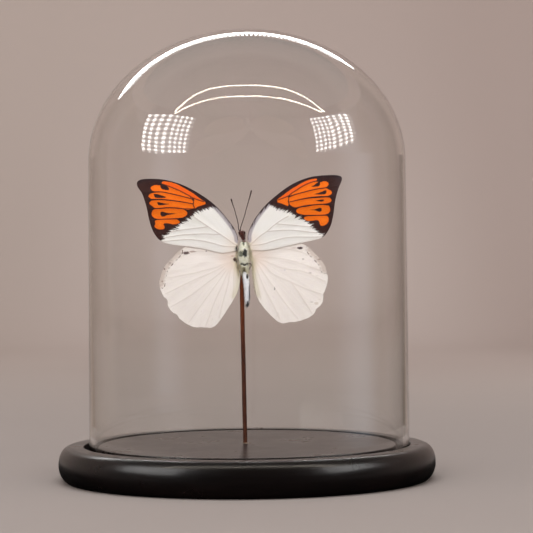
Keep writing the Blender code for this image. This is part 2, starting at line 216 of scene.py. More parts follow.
RIGHT_STRIP = [
    (31.1, 129.5), (28.6, 129.3), (25.5, 128.2), (22.3, 126.4), (19.5, 124.7),
    (16.9, 122.8), (15.0, 121.4), (14.1, 120.6), (14.7, 120.8), (18.7, 122.3),
    (22.3, 124.8), (26.4, 127.0), (30.2, 128.4)]
RIGHT_ORANGE = [
    [(18.7, 121.9), (17.6, 121.5), (15.0, 120.6), (14.2, 119.8), (16.0, 119.2),
     (17.6, 118.5), (18.7, 118.2), (18.8, 120.0)],
    [(32.9, 128.0), (34.0, 128.4), (35.3, 128.3), (36.0, 127.7), (35.9, 126.8),
     (34.8, 126.0), (31.8, 125.6), (28.6, 125.0), (25.5, 124.2), (22.3, 123.4),
     (19.4, 122.6), (22.5, 124.4), (25.0, 126.0), (28.3, 127.5), (31.0, 128.2)],
    [(34.9, 125.4), (36.2, 124.8), (37.2, 124.2), (37.5, 123.4), (36.8, 122.7),
     (34.9, 122.1), (32.7, 122.2), (29.6, 122.0), (25.5, 121.4), (22.3, 120.7),
     (19.6, 120.1), (19.1, 121.4), (22.3, 122.8), (25.5, 123.6), (28.6, 124.4),
     (31.8, 125.0)],
    [(37.3, 120.1), (36.7, 121.1), (35.3, 121.4), (31.8, 121.2), (27.0, 120.9),
     (22.3, 120.1), (19.5, 119.5), (19.8, 118.4), (21.7, 117.5), (23.9, 117.9),
     (27.0, 118.5), (31.8, 118.8), (34.9, 119.0), (36.2, 119.3)],
    [(36.7, 115.9), (36.5, 117.3), (35.9, 117.9), (33.4, 118.2), (29.6, 118.0),
     (25.5, 117.4), (23.2, 116.8), (22.3, 115.9), (22.9, 114.9), (25.8, 114.2),
     (29.6, 114.1), (33.4, 114.1), (35.6, 114.6), (36.4, 115.2)],
    [(35.9, 112.7), (35.3, 113.4), (32.7, 113.5), (28.9, 113.4), (26.4, 113.2),
     (25.6, 112.4), (27.0, 111.6), (28.9, 111.6), (30.8, 111.9), (31.8, 111.6),
     (32.3, 110.6), (32.7, 109.5), (34.0, 109.4), (35.3, 110.2), (36.0, 111.4)]]
RIGHT_DROPS = [
    [(28.6, 126.2), (29.9, 126.9), (31.1, 127.8), (32.3, 128.6), (32.6, 127.6),
     (32.2, 126.5), (30.6, 126.2)],
    [(29.4, 122.9), (31.4, 123.4), (33.4, 124.1), (35.1, 124.7), (35.3, 123.8),
     (34.6, 122.9), (32.7, 122.8)],
    [(30.4, 120.1), (32.3, 120.5), (33.9, 120.6), (34.2, 120.1), (33.0, 119.7)],
    [(28.0, 116.2), (30.0, 116.4), (31.6, 116.9), (32.6, 117.1), (33.2, 116.5),
     (33.0, 115.6), (32.1, 115.3), (30.4, 115.9)]]
RIGHT_VEINS = [
    [(32.3, 129.1), (28.3, 128.0), (24.8, 126.4), (22.3, 124.8), (20.1, 123.4),
     (18.7, 122.3), (14.4, 120.7)],
    [(41.0, 126.9), (36.4, 125.9), (31.8, 125.3), (28.6, 124.7), (25.5, 123.9),
     (22.3, 123.1), (19.5, 122.2)],
    [(39.2, 121.8), (36.2, 121.9), (32.7, 121.9), (29.6, 121.7), (25.5, 121.1),
     (22.3, 120.4), (19.8, 119.8)],
    [(38.6, 118.2), (35.9, 118.4), (32.7, 118.5), (29.6, 118.3), (26.4, 117.7),
     (23.9, 117.5), (22.3, 117.1)],
    [(38.0, 113.7), (35.6, 113.9), (31.8, 113.8), (28.6, 113.8), (25.5, 113.7),
     (22.5, 113.8)],
    [(18.8, 122.3), (19.0, 121.2), (18.8, 120.0), (19.1, 119.0), (19.0, 118.1),
     (19.1, 117.1)]]
RIGHT_RIBS = [
    [(2.4, 101.6), (4.0, 102.9), (6.5, 105.1), (9.7, 107.3), (12.8, 109.9),
     (16.0, 112.1), (18.8, 113.6)],
    [(13.6, 110.3), (18.0, 109.9), (24.0, 109.3), (28.6, 108.8)],
    [(9.6, 107.0), (14.5, 107.4), (21.0, 107.4), (31.0, 106.2)],
    [(2.2, 101.1), (5.0, 101.2), (8.1, 101.6), (11.2, 102.6), (14.4, 103.5),
     (17.6, 104.2), (22.3, 104.5), (27.0, 104.4), (33.5, 104.4)]]

LEFT_CREASES = [
    [(-5.6, 95.4), (-10.5, 97.4), (-17.0, 98.7), (-24.0, 98.0), (-31.8, 94.2)],
    [(-6.1, 93.8), (-10.3, 92.6), (-13.9, 91.2), (-23.6, 88.9), (-36.4, 86.6)],
    [(-6.1, 93.6), (-10.3, 91.6), (-13.9, 89.6), (-23.6, 85.6), (-35.0, 80.0)],
    [(-6.1, 93.4), (-9.7, 90.4), (-12.5, 87.9), (-19.2, 82.9), (-24.2, 79.2),
     (-32.9, 74.2)],
    [(-6.0, 93.2), (-9.6, 88.4), (-13.8, 82.6), (-19.0, 75.5), (-24.8, 67.6)],
    [(-5.8, 92.9), (-8.3, 87.9), (-11.0, 82.0), (-14.4, 74.2), (-17.6, 66.0)],
    [(-5.6, 92.7), (-7.0, 88.5), (-7.9, 83.5), (-10.4, 74.8), (-11.6, 69.3)],
    [(-4.9, 92.0), (-5.2, 87.0), (-5.2, 82.0), (-5.8, 78.0)]]
RIGHT_CREASES = [
    [(4.2, 96.4), (9.0, 98.6), (15.6, 99.4), (22.4, 98.4), (31.2, 95.1)],
    [(4.5, 95.9), (11.0, 95.6), (18.0, 94.6), (25.5, 92.4), (34.5, 88.9)],
    [(4.4, 95.4), (9.0, 93.9), (16.0, 91.0), (25.5, 89.2), (34.6, 84.8)],
    [(4.2, 95.0), (8.0, 92.4), (11.5, 88.7), (15.5, 86.6), (19.6, 84.8), (26.5, 81.7),
     (33.4, 79.2)],
    [(19.6, 84.8), (22.4, 81.0), (25.6, 76.0), (28.6, 71.0)],
    [(4.1, 94.7), (7.4, 89.6), (11.6, 83.4), (17.0, 75.6), (22.6, 68.6)],
    [(3.9, 94.3), (5.6, 88.4), (8.4, 81.4), (12.0, 74.4), (14.6, 68.6)],
    [(3.8, 93.0), (4.3, 88.0), (5.4, 82.4), (6.6, 77.0)]]


# ---------------------------------------------------------------- plane geometry

def smooth(points, steps=6, closed=False):
    """A Catmull-Rom curve through the points."""
    p = np.array(points, float)
    if closed:
        chain = np.vstack([p[-1:], p, p[:2]])
    else:
        chain = np.vstack([2 * p[0] - p[1], p, 2 * p[-1] - p[-2]])
    t = np.linspace(0, 1, steps, endpoint=False)[:, None]
    spans = [0.5 * (2 * b + (c - a) * t + (2 * a - 5 * b + 4 * c - d) * t ** 2
                    + (3 * b - a - 3 * c + d) * t ** 3)
             for a, b, c, d in zip(chain, chain[1:], chain[2:], chain[3:])]
    return np.vstack(spans if closed else spans + [p[-1:]])


def spaced(curve, gap):
    """Points about a gap apart along a curve."""
    steps = np.linalg.norm(np.diff(curve, axis=0), axis=1)
    run = np.concatenate([[0], np.cumsum(steps)])
    where = np.linspace(0, run[-1], max(int(run[-1] / gap), 2) + 1)
    return np.stack([np.interp(where, run, c) for c in curve.T], 1)


def to_line(points, line):
    """The distance from each point to a chain of segments."""
    best = np.full(len(points), 1e9)
    for a, b in zip(line[:-1], line[1:]):
        along = b - a
        t = np.clip((points - a) @ along / max(along @ along, 1e-12), 0, 1)
        best = np.minimum(best, np.linalg.norm(points - a - t[:, None] * along, axis=1))
    return best


def to_lines(points, lines):
    return np.min([to_line(points, smooth(line)) for line in lines], axis=0)


def depth_in(points, loop):
    """How far inside a closed loop each point is. Outside is negative."""
    x, z = points.T
    within = np.zeros(len(points), bool)
    for (x1, z1), (x2, z2) in zip(loop, np.roll(loop, -1, axis=0)):
        if z1 != z2:
            crossing = x1 + (x2 - x1) * (z - z1) / (z2 - z1)
            within ^= ((z1 > z) != (z2 > z)) & (x < crossing)
    away = to_line(points, np.vstack([loop, loop[:1]]))
    return np.where(within, away, -away)


def depth_in_any(points, loops):
    return np.max([depth_in(points, smooth(loop, 4, closed=True)) for loop in loops],
                  axis=0)


# ---------------------------------------------------------------- node helpers

def tint(red, green, blue):
    """A colour given as it looks on a screen, 0 to 255, in linear light."""
    return (*(((c / 255 + 0.055) / 1.055) ** 2.4 if c > 10 else c / 3294.6
              for c in (red, green, blue)), 1.0)


def linear(color):
    """A linked colour as it is, or three screen values in linear light."""
    return tint(*color) if isinstance(color, tuple) else color


def add(tree, kind, out=0, props=None, **inputs):
    """Add a node, set or link its inputs, and return one of its outputs."""
    node = tree.nodes.new("ShaderNode" + kind)
    for key, value in (props or {}).items():
        setattr(node, key, value)
    for key, value in inputs.items():
        socket = node.inputs[int(key[1:]) if key[0] == "_" else key.replace("_", " ")]
        if isinstance(value, bpy.types.NodeSocket):
            tree.links.new(value, socket)
        else:
            socket.default_value = value
    return node.outputs[out]


def maths(tree, operation, a, b=0.0):
    return add(tree, "Math", props={"operation": operation}, _0=a, _1=b)


def plus(tree, a, b):
    return maths(tree, "ADD", a, b)


def minus(tree, a, b):
    return maths(tree, "SUBTRACT", a, b)


def times(tree, value, *factors):
    for factor in factors:
        value = maths(tree, "MULTIPLY", value, factor)
    return value


def ramp(tree, value, start, end, low=0.0, high=1.0):
    """low where value is start or before, high from end on, smooth between."""
    return add(tree, "MapRange", props={"interpolation_type": "SMOOTHSTEP"}, Value=value,
               From_Min=start, From_Max=end, To_Min=low, To_Max=high)


def stretch(tree, vector, x, y, z):
    return add(tree, "VectorMath", props={"operation": "MULTIPLY"}, _0=vector, _1=(x, y, z))


def noise(tree, vector, scale, detail=2.0, roughness=0.5):
    return add(tree, "TexNoise", Vector=vector, Scale=scale, Detail=detail,
               Roughness=roughness)


def layers(tree, color, *coats):
    """Lay (mask, colour) or (mask, colour, weight) coats over a colour, one by one.

    A colour is a linked one or three screen values."""
    for mask, coat, *weight in coats:
        color = add(tree, "Mix", out=2, props={"data_type": "RGBA"},
                    _0=times(tree, mask, *weight), _6=linear(color), _7=linear(coat))
    return color


def spot_coordinates(tree):
    return add(tree, "TexCoord", out=3)


def part_of(tree, vector, axis):
    """The x, y or z of a vector, for axis 0, 1 or 2."""
    return add(tree, "SeparateXYZ", out=axis, _0=vector)


def own(tree, name, out=2):
    """A value kept on the piece's own mesh."""
    return add(tree, "Attribute", out=out, props={"attribute_name": name})


def ray(tree):
    """What kind of ray arrives, and what it has met on its way."""
    return tree.nodes.new("ShaderNodeLightPath").outputs


def mirrored_ray(tree):
    """1 for a ray that comes by way of a reflection and no rough surface."""
    path = ray(tree)
    return times(tree, maths(tree, "GREATER_THAN", path["Glossy Depth"], 0.5),
                 maths(tree, "LESS_THAN", path["Diffuse Depth"], 0.5))


def new_group(name, inputs, outputs):
    group = bpy.data.node_groups.new(name, "ShaderNodeTree")
    for side, sockets in (("INPUT", inputs), ("OUTPUT", outputs)):
        for label, kind, value in sockets:
            socket = group.interface.new_socket(
                name=label, in_out=side, socket_type="NodeSocket" + kind)
            if value is not None:
                socket.default_value = value
    return group, group.nodes.new("NodeGroupInput").outputs, group.nodes.new(
        "NodeGroupOutput").inputs


def grain_group():
    """Cloudy variation from 0 to 1, in any coordinates."""
    group, given, result = new_group(
        "grain", [("Vector", "Vector", None), ("Scale", "Float", 100.0),
                  ("Low", "Float", 0.35), ("High", "Float", 0.65)],
        [("Value", "Float", None)])
    cloud = noise(group, given["Vector"], given["Scale"], 3.0, 0.6)
    group.links.new(ramp(group, cloud, given["Low"], given["High"]), result["Value"])
    return group


def blot_group():
    """A ragged round mark about a point of the piece."""
    group, given, result = new_group(
        "blot", [("Centre", "Vector", None), ("Size", "Vector", None),
                 ("Ragged", "Float", 0.3), ("Softness", "Float", 0.2)],
        [("Mask", "Float", None)])
    place = spot_coordinates(group)
    away = add(group, "VectorMath", props={"operation": "SUBTRACT"}, _0=place,
               _1=given["Centre"])
    away = add(group, "VectorMath", props={"operation": "DIVIDE"}, _0=away,
               _1=given["Size"])
    away = add(group, "VectorMath", out=1, props={"operation": "LENGTH"}, _0=away)
    wobble = times(group, minus(group, noise(group, place, 1600.0), 0.5), given["Ragged"])
    inner = minus(group, 1.0, given["Softness"])
    group.links.new(ramp(group, plus(group, away, wobble), 1.0, inner), result["Mask"])
    return group


def dust_group():
    """Fine dust that lies on what faces upwards."""
    group, given, result = new_group(
        "dust", [("Amount", "Float", 0.1), ("Scale", "Float", 900.0)],
        [("Mask", "Float", None)])
    place = spot_coordinates(group)
    upward = ramp(group, part_of(group, add(group, "NewGeometry", out=1), 2), 0.2, 1.0)
    specks = ramp(group, noise(group, place, given["Scale"]), 0.62, 0.76)
    film = ramp(group, noise(group, place, 45.0, 4.0), 0.35, 0.7)
    both = maths(group, "MAXIMUM", specks, times(group, film, 0.35))
    group.links.new(times(group, both, given["Amount"], upward), result["Mask"])
    return group


def scales_group():
    """Rows of tiny overlapping wing scales."""
    group, given, result = new_group(
        "scale_rows", [("Vector", "Vector", None), ("Size", "Float", 0.18)],
        [("Tone", "Float", None), ("Height", "Float", None)])
    cells = add(group, "VectorMath", props={"operation": "SCALE"},
                _0=stretch(group, given["Vector"], 1.0, 0.6, 1.0),
                Scale=maths(group, "DIVIDE", 1.0, given["Size"]))
    cell = add(group, "TexVoronoi", Vector=cells, Scale=1.0).node.outputs
    group.links.new(minus(group, 1.0, cell["Distance"]), result["Height"])
    group.links.new(part_of(group, cell["Color"], 0), result["Tone"])
    return group


GRAIN, BLOT, DUST, SCALES = grain_group(), blot_group(), dust_group(), scales_group()
BLOT_DEPTH = 20.0


def use(tree, group, **inputs):
    """Place a node group with its own values."""
    return add(tree, "Group", props={"node_tree": group}, **inputs)


def grain(tree, vector, scale, low=0.35, high=0.65, pull=None):
    """Cloudy variation from 0 to 1, drawn out along the axes whose pull is small."""
    if pull:
        vector = stretch(tree, vector, *pull)
    return use(tree, GRAIN, Vector=vector, Scale=scale, Low=low, High=high)


def blot(tree, x, z, width, height, ragged, softness):
    return use(tree, BLOT, Centre=(x * MM, 0.0, z * MM),
               Size=(width * MM, BLOT_DEPTH * MM, height * MM), Ragged=ragged,
               Softness=softness)


def scale_rows(tree, fan, size):
    """The tone and the height of the rows of scales."""
    tone = use(tree, SCALES, Vector=fan, Size=size)
    return tone, tone.node.outputs["Height"]


def finish(name, roughness=0.5, **plain):
    """A new Principled material: its tree, its shader, and the material."""
    material = bpy.data.materials.new(name)
    material.use_nodes = True
    tree = material.node_tree
    shader = tree.nodes["Principled BSDF"]
    shader.inputs["Roughness"].default_value = roughness
    for key, value in plain.items():
        shader.inputs[key.replace("_", " ")].default_value = value
    return tree, shader, material


def feed(tree, shader, color, roughness=None, height=None, strength=0.3, reach=0.0001):
    """Link what varies over the surface to the shader."""
    tree.links.new(color, shader.inputs["Base Color"])
    if roughness is not None:
        tree.links.new(roughness, shader.inputs["Roughness"])
    if height is not None:
        bump = add(tree, "Bump", Height=height, Strength=strength, Distance=reach)
        tree.links.new(bump, shader.inputs["Normal"])


# ---------------------------------------------------------------- finishes

def dark_wood():
    tree, shader, material = finish("dark_wood", 0.3, Coat_Weight=0.1,
                                    Coat_Roughness=0.12, Specular_IOR_Level=0.28)
    place = spot_coordinates(tree)
    fibres = grain(tree, place, 900.0, 0.3, 0.7, (0.08, 1.0, 1.0))
    figure = grain(tree, place, 70.0, 0.3, 0.7, (0.15, 1.0, 0.6))
    pores = grain(tree, place, 2600.0, 0.6, 0.72, (0.05, 1.0, 1.0))
    dust = use(tree, DUST, Amount=0.003, Scale=1300.0)
    color = layers(tree, (11, 7, 7), (figure, (18, 11, 10)), (fibres, (8, 6, 5), 0.45),
                   (pores, (5, 4, 4), 0.3), (dust, (120, 112, 104)))
    sheen = grain(tree, place, 55.0, 0.3, 0.7)
    rough = plus(tree, times(tree, sheen, 0.04), 0.27)
    rough = plus(tree, rough, times(tree, dust, 0.8))
    feed(tree, shader, color, rough, noise(tree, place, 1100.0), 0.02, 0.00004)
    return material


def clear_glass():
    tree, shader, material = finish("clear_glass", 0.0, Transmission_Weight=1.0, IOR=1.45)
    place = spot_coordinates(tree)
    film = grain(tree, place, 60.0, 0.3, 0.75, (1.0, 1.0, 0.5))
    color = layers(tree, (255, 254, 254), (film, (253, 253, 252)))
    waves = noise(tree, stretch(tree, place, 1.0, 1.0, 0.35), 22.0, 0.0)
    feed(tree, shader, color, height=waves, strength=0.04, reach=0.00025)
    # Lamps and the light that spreads from rough surfaces pass straight through.
    open_way = add(tree, "BsdfTransparent", Color=(0.965, 0.96, 0.965, 1.0))
    path = ray(tree)
    spread = times(tree, path["Is Glossy Ray"], minus(tree, 1.0, path["Is Singular Ray"]))
    surface = shader.outputs[0]
    for passing in (path["Is Shadow Ray"], path["Is Diffuse Ray"], spread):
        surface = add(tree, "MixShader", _0=passing, _1=surface, _2=open_way)
    output = tree.nodes["Material Output"]
    tree.links.new(surface, output.inputs["Surface"])
    # A faint olive depth, seen where the wall is looked at along its length.
    tree.links.new(add(tree, "VolumeAbsorption", Color=(0.3, 0.32, 0.0, 1.0), Density=10.0),
                   output.inputs["Volume"])
    return material


def stained_stick():
    tree, shader, material = finish("stained_stick", 0.5, Specular_IOR_Level=0.12)
    place = spot_coordinates(tree)
    fibres = grain(tree, place, 2600.0, 0.3, 0.7, (1.0, 1.0, 0.05))
    patches = grain(tree, place, 260.0, pull=(1.0, 1.0, 0.3))
    fine = grain(tree, place, 6000.0, 0.4, 0.6, (1.0, 1.0, 0.03))
    lower = ramp(tree, part_of(tree, place, 2), 0.078, 0.050)
    color = layers(tree, (90, 36, 12), (patches, (106, 46, 16)), (lower, (42, 14, 8)),
                   (fibres, (56, 19, 10), 0.5), (fine, (160, 88, 48), 0.2))
    rough = plus(tree, times(tree, fibres, 0.2), 0.38)
    feed(tree, shader, color, rough, fibres, 0.5, 0.00006)
    return material


def glue():
    tree, shader, material = finish("dried_glue", 0.2, Coat_Weight=0.4)
    cloud = grain(tree, spot_coordinates(tree), 1500.0)
    feed(tree, shader, layers(tree, (120, 100, 84), (cloud, (165, 146, 126))),
         height=cloud)
    return material


def forewing_upper():
    tree, shader, material = finish("forewing_upper", 0.66, Sheen_Weight=0.04,
                                    Sheen_Roughness=0.4, Specular_IOR_Level=0.15)
    fan = own(tree, "fan", 1)
    rays = grain(tree, fan, 1.3, 0.3, 0.7, (1.0, 0.09, 1.0))
    fine_rays = grain(tree, fan, 4.5, 0.3, 0.7, (1.0, 0.12, 1.0))
    tone, height = scale_rows(tree, fan, 0.16)
    teeth = minus(tree, noise(tree, stretch(tree, fan, 1.0, 0.11, 1.0), 1.3, 4.0, 0.8), 0.5)
    crumbs = minus(tree, noise(tree, fan, 4.0, 3.0), 0.5)

    def crumbled(name, amount):
        """A value of the mesh with its outlines broken up a little."""
        return plus(tree, own(tree, name), times(tree, crumbs, amount))

    rib, leading, reach = own(tree, "rib"), own(tree, "leading"), own(tree, "reach")
    white = layers(
        tree, (247, 245, 237), (rays, (239, 235, 226), 0.5),
        (grain(tree, fan, 0.16), (250, 247, 244), 0.45),
        (ramp(tree, rib, 0.45, 0.0, 0.0, 0.45), (222, 211, 204)),
        (ramp(tree, rib, 0.16, 0.05, 0.0, 0.75), (188, 172, 162)),
        (ramp(tree, own(tree, "rear"), 1.3, 0.0, 0.0, 0.35), (226, 214, 204)),
        (ramp(tree, reach, 9.0, 1.0, 0.0, 0.45), (238, 216, 194)),
        # Painted shade: a grey band along the leading edge near the body.
        (ramp(tree, leading, 2.0, 1.2, 0.0, 0.85), (168, 158, 164),
         ramp(tree, reach, 34.0, 20.0)),
        (tone, (200, 190, 182), 0.06))
    black = layers(
        tree, (36, 14, 14), (fine_rays, (54, 24, 22)),
        (ramp(tree, leading, 2.2, 0.4, 0.0, 0.75), (30, 20, 28)),
        (tone, (80, 44, 38), 0.25))
    orange = layers(
        tree, (250, 112, 2), (ramp(tree, own(tree, "island"), 0.3, 1.3), (255, 126, 4)),
        (fine_rays, (238, 88, 0), 0.6),
        (ramp(tree, own(tree, "strip"), -0.2, 0.4), (238, 84, 10)),
        (tone, (255, 150, 26), 0.2))
    border = plus(tree, own(tree, "dark"), times(tree, teeth, 7.5))
    is_black = times(tree, ramp(tree, border, -0.2, 0.25),
                     ramp(tree, border, 0.1, 0.9, 0.88, 1.0))
    rim_line = times(tree, ramp(tree, leading, 0.32, 0.16), 0.8)
    is_black = maths(tree, "MAXIMUM", is_black, rim_line)
    is_drop = ramp(tree, crumbled("drop", 0.5), -0.1, 0.12)
    is_vein = ramp(tree, crumbled("vein", 0.12), 0.28, 0.13, 0.0, 0.92)
    is_orange = times(tree, ramp(tree, crumbled("island", 0.55), -0.24, 0.0), minus(
        tree, 1.0, maths(tree, "MAXIMUM", is_drop, is_vein)))
    color = layers(tree, white, (is_black, black), (is_orange, orange),
                   (blot(tree, -3.8, 99.9, 0.5, 1.3, 0.9, 0.3), (46, 44, 38), 0.85))
    feed(tree, shader, color, height=plus(tree, height, times(tree, fine_rays, 0.6)),
         strength=0.2, reach=0.00005)
    return material


# Small stains on the hindwings: place (x, z), half size, colour and weight.
HINDWING_STAINS = [
    (-25.8, 97.9, 1.75, 0.85, (74, 44, 46), 0.9),
    (-23.0, 98.5, 1.9, 0.5, (150, 118, 108), 0.6),
    (-17.0, 98.6, 0.5, 0.5, (172, 160, 156), 0.8),
    (-32.9, 93.6, 0.9, 0.35, (110, 78, 64), 0.6),
    (-35.2, 91.0, 0.45, 0.6, (96, 66, 56), 0.8),
    (-36.2, 85.6, 0.5, 0.55, (150, 124, 108), 0.7),
    (-4.5, 94.8, 1.2, 1.1, (66, 28, 24), 0.95),
    (-5.6, 96.4, 1.1, 0.3, (176, 110, 92), 0.6),
    (23.6, 99.6, 1.5, 0.75, (66, 40, 44), 0.95),
    (21.0, 99.7, 1.6, 0.4, (188, 160, 152), 0.5),
    (25.0, 94.8, 0.75, 0.6, (196, 186, 176), 0.7),
    (28.0, 88.7, 0.9, 0.35, (176, 164, 156), 0.8),
    (28.5, 76.0, 0.9, 0.3, (188, 176, 164), 0.6),
    (12.5, 82.0, 0.35, 1.0, (150, 146, 138), 0.8),
    (32.2, 94.6, 1.3, 0.35, (112, 82, 66), 0.7),
    (30.6, 75.4, 1.2, 0.8, (206, 188, 164), 0.5),
    (17.0, 90.1, 0.5, 0.35, (186, 180, 190), 0.5)]


def hindwing_upper():
    tree, shader, material = finish("hindwing_upper", 0.7, Sheen_Weight=0.04,
                                    Sheen_Roughness=0.4, Specular_IOR_Level=0.2)
    fan = own(tree, "fan", 1)
    rays = grain(tree, fan, 0.9, 0.32, 0.68, (1.0, 0.07, 1.0))
    fine_rays = grain(tree, fan, 3.6, 0.3, 0.7, (1.0, 0.12, 1.0))
    patches = grain(tree, fan, 0.5, 0.45, 0.7)
    specks = grain(tree, fan, 1.5, 0.60, 0.70, (1.0, 0.45, 1.0))
    tone, height = scale_rows(tree, fan, 0.18)
    crease_shade, from_worn = own(tree, "rib"), own(tree, "worn")
    worn = plus(tree, from_worn, times(tree, minus(tree, fine_rays, 0.5), 1.2))
    is_worn = ramp(tree, worn, 2.4, 1.2, 0.0, 0.75)
    # A broken dark line runs along the inner side of the worn margin.
    torn = maths(tree, "ABSOLUTE", minus(tree, from_worn, 2.2))
    torn = times(tree, ramp(tree, torn, 0.3, 0.1), grain(tree, fan, 0.9, 0.48, 0.60))
    color = layers(
        tree, (249, 241, 232), (rays, (240, 228, 218), 0.55),
        (grain(tree, fan, 0.12), (247, 241, 230), 0.5), (patches, (238, 226, 230), 0.25),
        (fine_rays, (250, 243, 238), 0.3),
        # Painted shade along the creases: a soft darker band, darkest at each crease line.
        (ramp(tree, crease_shade, 0.7, 0.0, 0.0, 0.16), (214, 202, 188)),
        (ramp(tree, crease_shade, 0.2, 0.05, 0.0, 0.30), (196, 182, 166)),
        (specks, (196, 182, 166), 0.35),
        (ramp(tree, own(tree, "rim"), 0.9, 0.1, 0.0, 0.5), (246, 238, 228)),
        (ramp(tree, own(tree, "reach"), 11.0, 1.5, 0.0, 0.6), (243, 219, 201)),
        (ramp(tree, own(tree, "inner"), 3.2, 0.3, 0.0, 0.5), (206, 196, 156)),
        (is_worn, (204, 186, 174)), (is_worn, (104, 74, 60), specks),
        (torn, (112, 84, 70)), (tone, (206, 192, 178), 0.07))
    for *spot, stain, weight in HINDWING_STAINS:
        color = layers(tree, color, (blot(tree, *spot, 0.9, 0.45), stain, weight))
    feed(tree, shader, color, height=plus(tree, height, times(tree, rays, 1.4)),
         strength=0.25, reach=0.00007)
    return material


def wing_underside(name, pale, mottle, deep):
    """The leaf-like underside: cream with brown mottling that follows the veins."""
    tree, shader, material = finish(name, 0.7, Sheen_Weight=0.2, Specular_IOR_Level=0.25)
    fan = own(tree, "fan", 1)
    rays = grain(tree, fan, 1.1, pull=(1.0, 0.2, 1.0))
    freckles = grain(tree, fan, 2.4, 0.50, 0.66, (1.0, 0.5, 1.0))
    clouds = grain(tree, fan, 0.18, 0.4, 0.6)
    tone, height = scale_rows(tree, fan, 0.18)
    leafy = plus(tree, own(tree, "leafy"), times(tree, clouds, 3.0))
    spread = ramp(tree, leafy, -2.5, 6.5)
    color = layers(
        tree, pale, (rays, (226, 214, 198), 0.3), (spread, mottle, 0.8),
        (times(tree, freckles, spread), deep, 0.75),
        (times(tree, clouds, spread), (220, 204, 176), 0.55),
        (ramp(tree, own(tree, "rib"), 0.22, 0.05, 0.0, 0.55), (150, 126, 104)),
        (ramp(tree, own(tree, "vein"), 0.22, 0.05, 0.0, 0.45), (120, 92, 72)),
        (tone, (170, 150, 130), 0.12))
    feed(tree, shader, color, height=height, strength=0.2, reach=0.00005)
    return material


def body_skin(name, marks, base, second):
    """Scaled and haired skin with dark marks at the places listed."""
    tree, shader, material = finish(name, 0.6, Sheen_Weight=0.3)
    place = spot_coordinates(tree)
    fine = grain(tree, place, 5200.0, pull=(1.0, 1.0, 0.25))
    color = layers(tree, base, (grain(tree, place, 900.0), second),
                   (fine, (250, 250, 246), 0.3))
    for *spot, shade in marks:
        color = layers(tree, color, (blot(tree, *spot, 0.8, 0.4), shade))
    feed(tree, shader, color, height=fine, strength=0.5, reach=0.00006)
    return material


def head_brown():
    tree, shader, material = finish("head_cuticle", 0.6, Sheen_Weight=0.2)
    place = spot_coordinates(tree)
    fine = grain(tree, place, 5000.0)
    color = layers(tree, (96, 34, 22), (grain(tree, place, 1100.0), (54, 18, 14)),
                   (fine, (122, 52, 36), 0.3))
    feed(tree, shader, color, height=fine, strength=0.5, reach=0.00008)
    return material


def eye_shine():
    tree, shader, material = finish("eye_facets", 0.25, Coat_Weight=0.3)
    place = spot_coordinates(tree)
    facets = add(tree, "TexVoronoi", out="Distance", Vector=place, Scale=9000.0)
    color = layers(tree, (70, 32, 26), (grain(tree, place, 700.0), (40, 18, 16)))
    feed(tree, shader, color, height=minus(tree, 1.0, facets), reach=0.00004)
    return material


def feeler_brown():
    tree, shader, material = finish("feeler_cuticle", 0.5)
    place = spot_coordinates(tree)
    bands = add(tree, "TexWave", props={"bands_direction": "Z"}, Vector=place,
                Scale=520.0, Distortion=0.4)
    color = layers(tree, (62, 44, 40), (grain(tree, place, 700.0), (44, 30, 28)),
                   (bands, (104, 82, 72), 0.3))
    feed(tree, shader, color, height=bands, strength=0.4, reach=0.00003)
    return material


def hair_finish(name, pale, warm, dark):
    """Hair coloured by the tone kept on each strand: 0 pale, 0.5 warm, 1 dark."""
    tree, shader, material = finish(name, 0.55, Sheen_Weight=0.3, Specular_IOR_Level=0.3)
    tone = own(tree, "tone")
    color = layers(tree, pale, (ramp(tree, tone, 0.1, 0.5), warm),
                   (ramp(tree, tone, 0.55, 0.95), dark),
                   (ramp(tree, own(tree, "along"), 0.4, 0.0), (150, 148, 120), 0.12),
                   (grain(tree, spot_coordinates(tree), 1200.0), (160, 152, 130), 0.1))
    feed(tree, shader, color)
    # Light also comes through the thin hairs from behind.
    through = add(tree, "BsdfTranslucent", Color=color)
    surface = add(tree, "MixShader", _0=0.45, _1=shader.outputs[0], _2=through)
    tree.links.new(surface, tree.nodes["Material Output"].inputs["Surface"])
    return material


# Dark marks down the back: place (x, z), half size, and how dark.
BODY_MARKS = [
    (-1.9, 97.3, 1.3, 1.7, 0.45), (-0.15, 97.7, 1.15, 2.3, 1.0),
    (-0.75, 101.9, 0.6, 1.2, 0.5), (-3.5, 99.8, 0.8, 1.5, 1.0),
    (-3.8, 94.7, 1.0, 1.2, 1.0), (-1.5, 92.95, 0.9, 0.6, 0.9),
    (-0.4, 92.5, 1.0, 0.6, 0.95), (0.7, 92.95, 0.7, 0.6, 0.8),
    (-0.7, 90.5, 0.8, 1.3, 0.8), (0.0, 89.0, 0.6, 1.0, 0.7),
    (0.75, 87.5, 0.6, 1.4, 1.0), (-3.1, 92.2, 0.7, 0.7, 0.7)]

